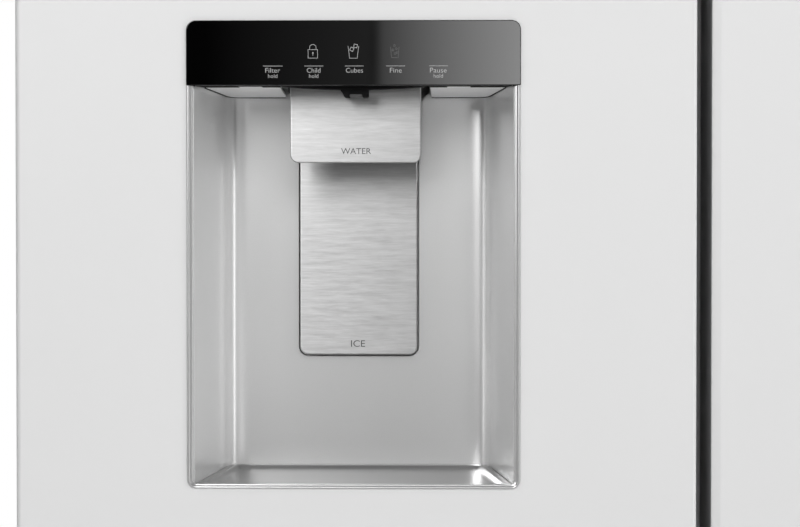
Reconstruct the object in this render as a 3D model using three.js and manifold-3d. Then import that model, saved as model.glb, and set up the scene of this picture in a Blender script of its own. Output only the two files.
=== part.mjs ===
// Side by side refrigerator with a through-the-door ice and water dispenser.
// Units are millimetres. +Z is up, the doors face -Y, the freezer is on the -X side.
// The origin is the centre of the footprint, on the floor.
import * as THREE from "three";
import { mergeVertices } from "three/addons/utils/BufferGeometryUtils.js";
import Module from "manifold-3d";

const wasm = await Module();
wasm.setup();

// ---------------------------------------------------------------- driving dimensions
const GAP = 0.3; // clearance between pieces that touch
const WIDTH = 914; // over the doors
const HEIGHT = 1775; // floor to hinge covers
const REAR = 419.5; // rearmost point, mirrored by the dispenser bezel at the front
const DOOR_FRONT = -418, DOOR_BACK = -339; // door shell, front to back
const DOOR_Z0 = 88, DOOR_Z1 = 1748;
const FZ_DOOR = [-457, -59.2], FF_DOOR = [-50.5, 457]; // freezer and fresh food doors, X
const DOOR_EDGE_R = 4; // rounding of the doors' vertical front edges
const SKIN = 2; // steel skin as modelled
const CASE_X = 454, CASE_FRONT = -325, CASE_BACK = 400, CASE_Z0 = 60, CASE_Z1 = 1745;
const MOUTH_Z = [115, 1690]; // clear height of both compartments
const FZ_MOUTH = [-402, -80], FF_MOUTH = [-29, 402];
const LINER = 3, CAVITY_BACK = 325;
const STEP_Y = 132, STEP_Z = 358; // liner step over the machine compartment
const MACHINE_Y = 190, MACHINE_Z = 300;
const HINGE_X = 435, HINGE_Y = -378, PIN_R = 5, PIN_HOLE_R = 5.6;
// dispenser
const XD = -259; // centre line of the dispenser
const BEZEL_HW = 97.5, BEZEL_Z0 = 925, BEZEL_Z1 = 1198, BEZEL_R = 5.5, BEZEL_PROUD = 1.5;
const WELL_DEPTH = 80, WELL_TOP = 1160, WELL_LIP_Z = 927.6;
const WATER_HW = 38.9, WATER_D = 31, WATER_Z0 = 1115.5;
const ICE_HW = 35.8, ICE_D = 76, ICE_Z0 = 999;
const PADDLE_T = 2.4;

// ---------------------------------------------------------------- shape helpers
const solid = (geometry) => {
  const g = geometry.index ? geometry.toNonIndexed() : geometry.clone();
  g.deleteAttribute("normal");
  g.deleteAttribute("uv");
  const m = mergeVertices(g, 1e-4);
  return new wasm.Manifold(
    new wasm.Mesh({ numProp: 3, vertProperties: m.attributes.position.array, triVerts: new Uint32Array(m.index.array) }),
  );
};
const box = (x0, x1, y0, y1, z0, z1) =>
  solid(new THREE.BoxGeometry(x1 - x0, y1 - y0, z1 - z0).translate((x0 + x1) / 2, (y0 + y1) / 2, (z0 + z1) / 2));
const cylZ = (x, y, z0, z1, r, n = 20, rTop = r) =>
  solid(new THREE.CylinderGeometry(rTop, r, z1 - z0, n).rotateX(Math.PI / 2).translate(x, y, (z0 + z1) / 2));
const cylY = (x, z, y0, y1, r, n = 20) =>
  solid(new THREE.CylinderGeometry(r, r, y1 - y0, n).translate(x, (y0 + y1) / 2, z));
const cylX = (y, z, x0, x1, r, n = 20) =>
  solid(new THREE.CylinderGeometry(r, r, x1 - x0, n).rotateZ(Math.PI / 2).translate((x0 + x1) / 2, y, z));
const shapeOf = (pts) => new THREE.Shape(pts.map((p) => new THREE.Vector2(p[0], p[1])));
const extrude = (shape, depth, n = 6) =>
  new THREE.ExtrudeGeometry(shape, { depth, bevelEnabled: false, curveSegments: n });
// outlines in (x, y) raised along Z, in (y, z) run along X, in (x, z) run along Y
const prismZ = (pts, z0, z1, n) => solid(extrude(pts instanceof THREE.Shape ? pts : shapeOf(pts), z1 - z0, n).translate(0, 0, z0));
const prismX = (pts, x0, x1, n) => {
  const b = new THREE.Matrix4().makeBasis(new THREE.Vector3(0, 1, 0), new THREE.Vector3(0, 0, 1), new THREE.Vector3(1, 0, 0));
  return solid(extrude(pts instanceof THREE.Shape ? pts : shapeOf(pts), x1 - x0, n).applyMatrix4(b).translate(x0, 0, 0));
};
const prismY = (pts, y0, y1, n) => {
  const b = new THREE.Matrix4().makeBasis(new THREE.Vector3(1, 0, 0), new THREE.Vector3(0, 0, 1), new THREE.Vector3(0, -1, 0));
  return solid(extrude(pts instanceof THREE.Shape ? pts : shapeOf(pts), y1 - y0, n).applyMatrix4(b).translate(0, y1, 0));
};
// rectangle with its own radius at each corner: bottom left, bottom right, top right, top left
const roundRect = (x0, x1, y0, y1, r) => {
  const [a, b, c, d] = Array.isArray(r) ? r : [r, r, r, r];
  const s = new THREE.Shape();
  s.moveTo(x0 + a, y0);
  s.lineTo(x1 - b, y0);
  if (b) s.absarc(x1 - b, y0 + b, b, -Math.PI / 2, 0, false);
  s.lineTo(x1, y1 - c);
  if (c) s.absarc(x1 - c, y1 - c, c, 0, Math.PI / 2, false);
  s.lineTo(x0 + d, y1);
  if (d) s.absarc(x0 + d, y1 - d, d, Math.PI / 2, Math.PI, false);
  s.lineTo(x0, y0 + a);
  if (a) s.absarc(x0 + a, y0 + a, a, Math.PI, 1.5 * Math.PI, false);
  return s;
};
const join = (...parts) => parts.flat().reduce((a, b) => a.add(b));
const cut = (a, ...parts) => parts.flat().reduce((m, b) => m.subtract(b), a);
// open-topped box with walls of thickness t
const bin = (x0, x1, y0, y1, z0, z1, t = 3) =>
  cut(box(x0, x1, y0, y1, z0, z1), box(x0 + t, x1 - t, y0 + t, y1 - t, z0 + t, z1 + 1));

// ---------------------------------------------------------------- materials
const material = (color, roughness, metalness = 0, extra = {}) =>
  new THREE.MeshStandardMaterial({ color, roughness, metalness, ...extra });
const M = {
  paint: material(0xe1e1e1, 0.38),
  casePaint: material(0xd8d8d8, 0.45),
  galvanised: material(0xa9adaf, 0.5, 0.8),
  foam: material(0xe9dfb8, 0.9),
  liner: material(0xf2f3f3, 0.35),
  silver: material(0xb9babb, 0.32, 0.55),
  brushed: material(0xc4c5c6, 0.3, 0.9),
  blackGlass: material(0x0a0a0b, 0.06),
  blackPlastic: material(0x161617, 0.4),
  greyPlastic: material(0x3c3d3f, 0.5),
  gasket: material(0xb9bcbe, 0.7),
  clear: material(0xe4eef2, 0.08, 0, { transparent: true, opacity: 0.35 }),
  glass: material(0xdff0ec, 0.05, 0, { transparent: true, opacity: 0.35 }),
  motorBlack: material(0x1d1e20, 0.45, 0.3),
  aluminium: material(0xc9cccd, 0.4, 0.9),
  whitePlastic: material(0xeeeeec, 0.4),
};

// ---------------------------------------------------------------- scene graph
const root = new THREE.Group();
root.name = "refrigerator";
const groups = {};
const group = (name, parent, at) => {
  const g = new THREE.Group();
  g.name = name;
  g.userData.at = at;
  const p = parent ? parent.userData.at : [0, 0, 0];
  g.position.set(at[0] - p[0], at[1] - p[1], at[2] - p[2]);
  (parent || root).add(g);
  groups[name] = g;
  return g;
};
// adds a solid, modelled in the part's own frame, to a group that stands at its own place
const add = (g, name, s, mat) => {
  const mesh = s.getMesh(), n = mesh.numProp;
  const v = new Float32Array(mesh.numVert * 3);
  const at = g.userData.at;
  for (let i = 0; i < mesh.numVert; i++)
    for (let k = 0; k < 3; k++) v[i * 3 + k] = mesh.vertProperties[i * n + k] - at[k];
  const geometry = new THREE.BufferGeometry();
  geometry.setAttribute("position", new THREE.BufferAttribute(v, 3));
  geometry.setIndex(new THREE.BufferAttribute(new Uint32Array(mesh.triVerts), 1));
  geometry.computeVertexNormals();
  const m = new THREE.Mesh(geometry, mat);
  m.name = name;
  g.add(m);
  return m;
};

const cabinet = group("cabinet", null, [0, 0, 0]);

// ================================================================ cabinet
const mouthBox = (m, grow, y0, y1) =>
  box(m[0] - grow, m[1] + grow, y0, y1, MOUTH_Z[0] - grow, MOUTH_Z[1] + grow);
// steel wrapper: two sides, a top and a front flange with the two compartment mouths
add(
  cabinet, "outer_case",
  cut(
    box(-CASE_X, CASE_X, CASE_FRONT, CASE_BACK, CASE_Z0, CASE_Z1),
    box(-CASE_X + SKIN, CASE_X - SKIN, CASE_FRONT + SKIN, CASE_BACK + 1, CASE_Z0 - 1, CASE_Z1 - SKIN),
    mouthBox(FZ_MOUTH, LINER + GAP, CASE_FRONT - 1, CASE_FRONT + SKIN + 1),
    mouthBox(FF_MOUTH, LINER + GAP, CASE_FRONT - 1, CASE_FRONT + SKIN + 1),
  ),
  M.casePaint,
);
// cavity of a compartment, grown by a margin, with the step over the machine compartment
const cavity = (m, grow, y0) =>
  cut(
    box(m[0] - grow, m[1] + grow, y0, CAVITY_BACK + grow, MOUTH_Z[0] - grow, MOUTH_Z[1] + grow),
    box(m[0] - grow - 1, m[1] + grow + 1, STEP_Y + grow, CAVITY_BACK + grow + 1, MOUTH_Z[0] - grow - 1, STEP_Z - grow),
  );
const foamX = CASE_X - SKIN - GAP;
add(
  cabinet, "insulation_foam",
  cut(
    box(-foamX, foamX, CASE_FRONT + SKIN + GAP, 397.2, 62, CASE_Z1 - SKIN - GAP),
    box(-foamX - 1, foamX + 1, MACHINE_Y, 398, 61, MACHINE_Z),
    cavity(FZ_MOUTH, LINER + GAP, CASE_FRONT),
    cavity(FF_MOUTH, LINER + GAP, CASE_FRONT),
  ),
  M.foam,
);
const linerShell = (m) => cut(cavity(m, LINER, CASE_FRONT), cavity(m, 0, CASE_FRONT - 1));
// ledges that carry a shelf or a drawer on both side walls
const ledges = (m, w, y0, y1, z0, z1) => [
  box(m[0] - 1, m[0] + w, y0, y1, z0, z1),
  box(m[1] - w, m[1] + 1, y0, y1, z0, z1),
];
const FZ_SHELF_Z = [596, 900], FF_SHELF_Z = [885, 1215];
const BUCKET_Z = [1262, 1440];
add(
  cabinet, "freezer_liner",
  join(
    linerShell(FZ_MOUTH),
    ledges(FZ_MOUTH, 9, -167.5, 118, 306, 313),
    ledges(FZ_MOUTH, 14, -185, 250, FZ_SHELF_Z[0] - 10, FZ_SHELF_Z[0] - GAP),
    ledges(FZ_MOUTH, 14, -185, 250, FZ_SHELF_Z[1] - 10, FZ_SHELF_Z[1] - GAP),
    ledges(FZ_MOUTH, 22, -235, 190, BUCKET_Z[0] - 12, BUCKET_Z[0] - GAP),
  ),
  M.liner,
);
add(
  cabinet, "fridge_liner",
  join(
    linerShell(FF_MOUTH),
    ledges(FF_MOUTH, 9, -167.5, 118, 306, 313),
    ledges(FF_MOUTH, 9, -167.5, 240, 543, 550),
    ledges(FF_MOUTH, 14, -165, 285, 569, 575 - GAP),
    ledges(FF_MOUTH, 14, -189.5, 285, FF_SHELF_Z[0] - 10, FF_SHELF_Z[0] - GAP),
    ledges(FF_MOUTH, 14, -189.5, 285, FF_SHELF_Z[1] - 10, FF_SHELF_Z[1] - GAP),
  ),
  M.liner,
);
add(cabinet, "back_panel", box(-451.5, 451.5, 397.5, 399.5, MACHINE_Z + 1, 1742.5), M.galvanised);

// base frame: two side rails, a front cross bar, a rear pan and the axle's ears
const ear = (x) => box(x - 3, x + 3, 334, 356, 8, 41);
add(
  cabinet, "base_frame",
  cut(
    join(
      box(-438, -398, -318, 396, 38, 59.7),
      box(398, 438, -318, 396, 38, 59.7),
      box(-438, 438, -318, -282, 38, 59.7),
      box(-438, 438, 192, 396, 38, 41),
      ear(-383), ear(383),
    ),
    cylX(345, 17, -400, 400, 4.6, 16),
    cylZ(-412, -300, 30, 70, 6, 16), cylZ(412, -300, 30, 70, 6, 16),
  ),
  M.galvanised,
);
// louvred toe grille below the doors, held to the cross bar by two arms
{
  let g = box(-450, 450, -366, -352, 10, 66);
  const slots = [];
  for (let i = 0; i < 3; i++)
    for (let k = 0; k < 4; k++)
      slots.push(box(-430 + k * 219, -430 + k * 219 + 203, -367, -351, 20 + i * 13, 27 + i * 13));
  g = cut(g, slots);
  add(cabinet, "toe_grille", join(g, box(-380, -340, -353, -318 - GAP, 44, 56), box(340, 380, -353, -318 - GAP, 44, 56)), M.greyPlastic);
}
// rear cover of the machine compartment, with louvres and the mains inlet
{
  let c = box(-451.2, 451.2, 397.5, 399.5, 42, MACHINE_Z - 0.3);
  const slots = [];
  for (let i = 0; i < 6; i++)
    for (const x of [-300, -60, 150]) slots.push(box(x, x + 150, 396, 401, 90 + i * 28, 99 + i * 28));
  c = cut(c, slots);
  c = join(c, cut(box(336, 384, 398, 407, 96, 130), box(342, 378, 401, 408, 102, 124)));
  add(cabinet, "machine_cover", c, M.galvanised);
}
// compressor: domed shell on a foot plate, with its terminal box
{
  const pts = [[0, 44], [62, 44], [74, 52], [80, 66], [80, 150], [76, 176], [64, 196], [44, 208], [20, 213], [0, 213]];
  const lathe = new THREE.LatheGeometry(pts.map((p) => new THREE.Vector2(p[0], p[1])), 24).rotateX(Math.PI / 2).translate(-230, 292, 0);
  add(
    cabinet, "compressor",
    join(solid(lathe), box(-330, -130, 232, 352, 41.3, 46), box(-160, -126, 270, 316, 90, 150)),
    M.motorBlack,
  );
}
// condenser: a finned block on end plates, with its return bends
{
  const slots = [];
  for (let i = 0; i < 9; i++) slots.push(box(158 + i * 26, 181 + i * 26, 214, 381, 70, 251));
  const bends = [];
  for (const [y, z] of [[250, 110], [298, 160], [345, 210]]) bends.push(cylX(y, z, 389, 400, 4.8, 8));
  add(cabinet, "condenser", join(cut(box(150, 396, 215, 380, 62, 250), slots), bends), M.motorBlack);
}
// condenser fan: shroud with its motor on three struts, and the blade
const FAN_Y = 295, FAN_Z = 150;
{
  const parts = [
    cut(box(96, 100, 205, 385, 42, 276), cylX(FAN_Y, FAN_Z, 90, 104, 76, 28)),
    cylX(FAN_Y, FAN_Z, 62, 92, 21, 16),
  ];
  for (let i = 0; i < 3; i++) {
    const a = (i * 2 * Math.PI) / 3 + Math.PI / 2;
    parts.push(
      solid(new THREE.BoxGeometry(8, 86 - 14, 7).translate(0, (86 + 14) / 2, 0).rotateX(a).translate(93.5 - 1, FAN_Y, FAN_Z)),
    );
  }
  add(cabinet, "condenser_fan_shroud", join(parts), M.greyPlastic);
}
const propeller = (r, hub, depth, n) => {
  const parts = [solid(new THREE.CylinderGeometry(hub, hub, depth, 18))];
  for (let i = 0; i < n; i++)
    parts.push(
      solid(
        new THREE.BoxGeometry(r - hub + 4, 1.8, r * 0.62)
          .rotateX(0.5)
          .translate(hub - 4 + (r - hub + 4) / 2, 0, 0)
          .rotateY((i * 2 * Math.PI) / n),
      ),
    );
  return join(parts);
};
const spin = (s, m) => s.transform(m.toArray());
{
  const m = new THREE.Matrix4().makeTranslation(114, FAN_Y, FAN_Z).multiply(new THREE.Matrix4().makeRotationZ(-Math.PI / 2));
  const g = group("condenser_fan", cabinet, [114, FAN_Y, FAN_Z]);
  add(g, "condenser_fan_blade", spin(propeller(70, 16, 20, 5), m), M.greyPlastic);
}
// water inlet valve on the rear cover: bracket, solenoid and threaded inlet
add(
  cabinet, "water_valve",
  join(
    box(-410, -340, 399.8, 402.5, 150, 240), box(-400, -352, 402, REAR, 176, 222),
    cylZ(-388, 410.5, 150, 178, 8.5, 16), cylZ(-364, 410.5, 160, 178, 5, 12), box(-392, -360, 402, 417, 220, 236),
  ),
  M.whitePlastic,
);
// evaporator behind the freezer's rear cover: fins on a back plate, with its return bends
{
  const slots = [];
  for (let i = 0; i < 11; i++) slots.push(box(-382 + i * 26, -360 + i * 26, 275, 314, 434, 816));
  const bends = [];
  for (const z of [490, 625, 760]) bends.push(cylX(298, z, -392, -384, 4, 8), cylX(298, z, -98, -90, 4, 8));
  add(cabinet, "evaporator", join(cut(box(-386, -96, 276, 320, 430, 820), slots), bends), M.aluminium);
}
// freezer rear cover with the fan grille, the return slots and the fan motor on its bracket
const EFAN_X = -241, EFAN_Z = 1060;
{
  let p = box(-401.5, -80.5, 262, 265, 361, 1686);
  const holes = [cylY(EFAN_X, EFAN_Z, 260, 268, 52, 24)];
  for (let i = 0; i < 5; i++) holes.push(box(-370, -112, 260, 268, 380 + i * 14, 387 + i * 14));
  for (let i = 0; i < 4; i++) holes.push(box(-330, -152, 260, 268, 1600 + i * 14, 1607 + i * 14));
  p = cut(p, holes);
  const bracket = [];
  for (let i = 0; i < 3; i++)
    bracket.push(
      solid(new THREE.BoxGeometry(58, 3, 6).translate(29, 0, 0).rotateY(-(i * 2 * Math.PI) / 3 - Math.PI / 2).translate(EFAN_X, 263.5, EFAN_Z)),
    );
  add(cabinet, "evaporator_cover", join(p, bracket, cylY(EFAN_X, EFAN_Z, 262, 276, 14, 16)), M.whitePlastic);
  const m = new THREE.Matrix4().makeTranslation(EFAN_X, 290, EFAN_Z);
  const g = group("evaporator_fan", cabinet, [EFAN_X, 290, EFAN_Z]);
  add(g, "evaporator_fan_blade", spin(propeller(46, 12, 18, 5), m), M.greyPlastic);
}
// cold air tower on the rear wall of the fresh food compartment
{
  const slots = [];
  for (let i = 0; i < 6; i++) slots.push(box(140, 170, 296, 306, 700 + i * 150, 728 + i * 150), box(202, 232, 296, 306, 700 + i * 150, 728 + i * 150));
  add(cabinet, "air_tower", cut(prismZ(roundRect(116, 256, 300, 324.7, [8, 8, 0, 0]), 620, 1686, 3), slots), M.whitePlastic);
}
// ceiling module: lamp, controls and the filter's bay
const FILTER_X = 350, FILTER_Z = 1638, FILTER_R = 30;
add(
  cabinet, "ceiling_module",
  cut(
    join(box(-26, 399, -190, 20, 1652, 1689.5), box(303, 399, -190, 150, 1592, 1689.5)),
    cylY(FILTER_X, FILTER_Z, -191, 135, FILTER_R + 2.5, 24),
    box(60, 240, -160, -20, 1651, 1656),
  ),
  M.whitePlastic,
);
{
  const g = group("filter", cabinet, [FILTER_X, -190, FILTER_Z]);
  add(
    g, "water_filter",
    join(cylY(FILTER_X, FILTER_Z, -186, 126, FILTER_R, 20), cylY(FILTER_X, FILTER_Z, -196, -185, 26, 20), box(FILTER_X - 4, FILTER_X + 4, -204, -195, FILTER_Z - 22, FILTER_Z + 22)),
    M.whitePlastic,
  );
}
// shelves
const glassShelf = (z) =>
  join(box(-28.5, 401.5, -196, 294, z + 2, z + 8), box(-28.5, 401.5, -203, -190, z - 6, z + 14),
    box(-28.5, -16, -200, 294, z, z + 12), box(389, 401.5, -200, 294, z, z + 12), box(-28.5, 401.5, 284, 294, z, z + 14));
add(cabinet, "fridge_shelf_upper", glassShelf(FF_SHELF_Z[1]), M.glass);
add(cabinet, "fridge_shelf_lower", glassShelf(FF_SHELF_Z[0]), M.glass);
add(cabinet, "crisper_cover", join(box(-28.5, 401.5, -170, 294, 575, 583), box(-28.5, 401.5, -178, -168, 566, 590)), M.glass);
const wireShelf = (z) => {
  const slots = [];
  for (let i = 0; i < 8; i++) slots.push(box(-388 + i * 38, -366 + i * 38, -170, 240, z - 1, z + 7));
  return cut(join(box(-401.5, -80.5, -190, 257, z, z + 5), box(-401.5, -80.5, -194, -186, z - 8, z + 16)), slots);
};
add(cabinet, "freezer_shelf_upper", wireShelf(FZ_SHELF_Z[1]), M.whitePlastic);
add(cabinet, "freezer_shelf_lower", wireShelf(FZ_SHELF_Z[0]), M.whitePlastic);

// drawers: an open box with side flanges that run on the liner's ledges
const drawer = (m, y0, y1, z0, z1, flangeZ) =>
  cut(
    join(
      box(m[0] + 11, m[1] - 11, y0, y1, z0, z1),
      box(m[0] + 1.5, m[1] - 1.5, y0 + 4, y1, flangeZ, flangeZ + 5),
      box(m[0] + 2, m[1] - 2, y0 - 5, y0 + 2, z0, z1 + 3),
    ),
    box(m[0] + 14, m[1] - 14, y0 + 2, y1 - 3, z0 + 3, z1 + 5),
    box((m[0] + m[1]) / 2 - 60, (m[0] + m[1]) / 2 + 60, y0 - 6, y0 - 2, z1 - 34, z1 - 10),
  );
const gFzBasket = group("freezer_basket_slide", cabinet, [(FZ_MOUTH[0] + FZ_MOUTH[1]) / 2, -180, 124]);
add(gFzBasket, "freezer_basket", drawer(FZ_MOUTH, -170, 120, 124, 328, 313.4), M.clear);
const gCrU = group("crisper_upper_slide", cabinet, [(FF_MOUTH[0] + FF_MOUTH[1]) / 2, -180, 366]);
add(gCrU, "crisper_upper", drawer(FF_MOUTH, -170, 244, 366, 562, 550.4), M.clear);
const gCrL = group("crisper_lower_slide", cabinet, [(FF_MOUTH[0] + FF_MOUTH[1]) / 2, -180, 124]);
add(gCrL, "crisper_lower", drawer(FF_MOUTH, -170, 120, 124, 328, 313.4), M.clear);

// ================================================================ ice maker
{
  // mould with a half-round trough, its gear box at the front and the bracket to the wall
  const trough = prismY(
    (() => { const s = new THREE.Shape(); s.moveTo(-384, 1576); s.lineTo(-384, 1548); s.absarc(-346, 1548, 38, Math.PI, 2 * Math.PI, false); s.lineTo(-308, 1576); return s; })(),
    -98, 146, 5,
  );
  const inside = prismY(
    (() => { const s = new THREE.Shape(); s.moveTo(-380, 1580); s.lineTo(-380, 1548); s.absarc(-346, 1548, 34, Math.PI, 2 * Math.PI, false); s.lineTo(-312, 1580); return s; })(),
    -94, 142, 5,
  );
  const ribs = [];
  for (let i = 1; i < 5; i++) ribs.push(box(-382, -310, -96 + i * 48, -94 + i * 48, 1516, 1566));
  add(
    cabinet, "ice_maker",
    join(cut(trough, inside), ribs, box(-394, -304, -142, -97, 1502, 1592), box(-401.5, -383, -60, 120, 1560, 1574)),
    M.whitePlastic,
  );
  const arm = group("ice_arm", cabinet, [-298, 0, 1568]);
  const leg = (y) => {
    const dx = 44, dz = -110, L = Math.hypot(dx, dz);
    return solid(new THREE.BoxGeometry(L, 5, 5).rotateY(-Math.atan2(dz, dx)).translate(-298 + dx / 2, y, 1568 + dz / 2));
  };
  add(arm, "ice_maker_arm", join(cylY(-298, 1568, -118, 106, 3.2, 10), leg(-112), leg(100), cylY(-254, 1458, -114.5, 102.5, 3.4, 10)), M.galvanised);
}
// ice bucket with its outlet over the door's chute, and the auger that feeds it
{
  const b = group("ice_bucket_slide", cabinet, [-241, -262, 1262]);
  add(
    b, "ice_bucket",
    cut(
      join(
        bin(-386, -96, -262, 180, BUCKET_Z[0], BUCKET_Z[1]),
        box(-300, -218, -250, -232, 1264, 1330),
      ),
      box(-291, -227, -257, -206, 1260, 1268),
      cylY(XD, 1301, -258, -228, 33, 20),
      cylY(XD, 1301, 175, 185, 6, 14),
      box(-300, -182, -264, -258, 1398, 1424),
    ),
    M.clear,
  );
  const turns = 4, steps = 14 * turns, y0 = -200, y1 = 160, pos = [], idx = [];
  for (let i = 0; i <= steps; i++) {
    const a = (i / steps) * turns * 2 * Math.PI, y = y0 + ((y1 - y0) * i) / steps;
    for (const [r, dy] of [[4, -1.8], [29, -1.8], [29, 1.8], [4, 1.8]]) pos.push(XD + r * Math.cos(a), y + dy, 1301 + r * Math.sin(a));
  }
  for (let i = 0; i < steps; i++)
    for (let k = 0; k < 4; k++) {
      const a = i * 4 + k, b2 = i * 4 + ((k + 1) % 4), c = a + 4, d = b2 + 4;
      idx.push(a, c, b2, b2, c, d);
    }
  idx.push(0, 1, 2, 0, 2, 3);
  const e = steps * 4;
  idx.push(e, e + 2, e + 1, e, e + 3, e + 2);
  const g = new THREE.BufferGeometry();
  g.setAttribute("position", new THREE.BufferAttribute(new Float32Array(pos), 3));
  g.setIndex(idx);
  let helix = solid(g);
  if (helix.volume() < 0) { g.setIndex(idx.reverse()); helix = solid(g); }
  const bar = (y, a) => solid(new THREE.BoxGeometry(56, 3, 9).rotateY(a).translate(XD, y, 1301));
  const ag = group("auger", b, [XD, 0, 1301]);
  add(ag, "ice_auger", join(helix, cylY(XD, 1301, -232, 176, 6 - 0.6, 12), bar(-216, 0.3), bar(-208, 1.9), cylY(XD, 1301, -224, -204, 9, 12)), M.aluminium);
}

// ================================================================ doors
const doorOutline = (x, grow) => roundRect(x[0] + grow, x[1] - grow, DOOR_FRONT + grow, DOOR_BACK, [DOOR_EDGE_R - grow, DOOR_EDGE_R - grow, 0, 0]);
const GRIP_Z = [520, 850];
// finger opening in a door's inner edge: side +1 is a right-hand edge
const gripCut = (edge, side, y0, y1, reach, grow) => {
  const a = edge - side * (reach + grow), b = edge + side * 5;
  const r = Math.min(18, reach) - 0.01;
  const x0 = Math.min(a, b), x1 = Math.max(a, b);
  return prismY(roundRect(x0, x1, GRIP_Z[0] - grow, GRIP_Z[1] + grow, side > 0 ? [r, 0, 0, r] : [0, r, r, 0]), y0, y1, 5);
};
// hooked finger channel behind the front skin, as a plan outline run along Z
const gripScoop = (edge, side, y0, z0, z1) => {
  const s = side;
  const pts = [
    [edge + s * 6, y0 - 1], [edge - s * 20, y0 - 1], [edge - s * 20, DOOR_FRONT + 8], [edge - s * 34, DOOR_FRONT + 10],
    [edge - s * 38, DOOR_FRONT + 18], [edge - s * 38, DOOR_FRONT + 34], [edge - s * 32, DOOR_FRONT + 44], [edge - s * 18, DOOR_FRONT + 50], [edge + s * 6, DOOR_FRONT + 52],
  ];
  return prismZ(pts, z0, z1);
};
const gripInsert = (edge, side) => {
  const a = edge - side * (SKIN + GAP), b = edge - side * 46;
  const r = side > 0 ? [0, 1.7, 0, 0] : [1.7, 0, 0, 0];
  const block = prismZ(roundRect(Math.min(a, b), Math.max(a, b), DOOR_FRONT + SKIN + GAP, DOOR_FRONT + 58, r), GRIP_Z[0] - 20, GRIP_Z[1] + 20, 2);
  return cut(block, gripScoop(edge, side, DOOR_FRONT, GRIP_Z[0] + 0.5, GRIP_Z[1] - 0.5));
};
const gripSeat = (edge, side) => {
  const a = edge + side * 2, b = edge - side * (46 + GAP);
  return box(Math.min(a, b), Math.max(a, b), DOOR_FRONT + SKIN - 1, DOOR_FRONT + 58 + GAP, GRIP_Z[0] - 20 - GAP, GRIP_Z[1] + 20 + GAP);
};
const pinHoles = (x) => [cylZ(x, HINGE_Y, DOOR_Z0 - 1, 104, PIN_HOLE_R, 16), cylZ(x, HINGE_Y, 1732, DOOR_Z1 + 1, PIN_HOLE_R, 16)];
const skin = (x, edge, side, hx, ...holes) =>
  cut(
    prismZ(doorOutline(x, 0), DOOR_Z0, DOOR_Z1, 4),
    prismZ(roundRect(x[0] + SKIN, x[1] - SKIN, DOOR_FRONT + SKIN, DOOR_BACK + 1, [2, 2, 0, 0]), DOOR_Z0 + SKIN, DOOR_Z1 - SKIN, 2),
    gripCut(edge, side, DOOR_FRONT - 1, DOOR_FRONT + SKIN + 1, 20, 0),
    box(edge - 5, edge + 5, DOOR_FRONT - 1, DOOR_FRONT + 52, GRIP_Z[0], GRIP_Z[1]),
    pinHoles(hx),
    ...holes,
  );
const ring = (x0, x1, z0, z1, wl, wr, wz, y0, y1) =>
  cut(box(x0, x1, y0, y1, z0, z1), box(x0 + wl, x1 - wr, y0 - 1, y1 + 1, z0 + wz, z1 - wz));
const gasket = (x0, x1) => ring(x0, x1, 97, 1711, 16, 16, 16, -337.7 + GAP, CASE_FRONT - GAP);

// ---- plan outline of the dispenser's well: flared sides, rounded rear corners
const wellPlan = (y0, grow = 0, r = 17) => {
  const pts = [];
  const w0 = 93.9 + grow, back = DOOR_FRONT + WELL_DEPTH + grow, sx = 66.5 + grow;
  const side = (y) => w0 - 11.8 * ((y - DOOR_FRONT) / 63);
  pts.push([XD - side(y0), y0]);
  const n = 6, ys = DOOR_FRONT + 60, xs = side(ys);
  const curve = [];
  for (let i = 0; i <= n; i++) {
    const t = i / n;
    // quadratic from the side wall's end to the rear wall's end, about the corner where they would meet
    const cx = side(back), cy = back;
    const x = (1 - t) * (1 - t) * xs + 2 * t * (1 - t) * cx + t * t * sx;
    const y = (1 - t) * (1 - t) * ys + 2 * t * (1 - t) * cy + t * t * back;
    curve.push([x, y]);
  }
  for (const [x, y] of curve) pts.push([XD - x, y]);
  for (const [x, y] of curve.slice().reverse()) pts.push([XD + x, y]);
  pts.push([XD + side(y0), y0]);
  return pts;
};
const PIVOT_ICE = [DOOR_FRONT + 74, 1184], PIVOT_WATER = [DOOR_FRONT + 29, 1184];

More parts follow.
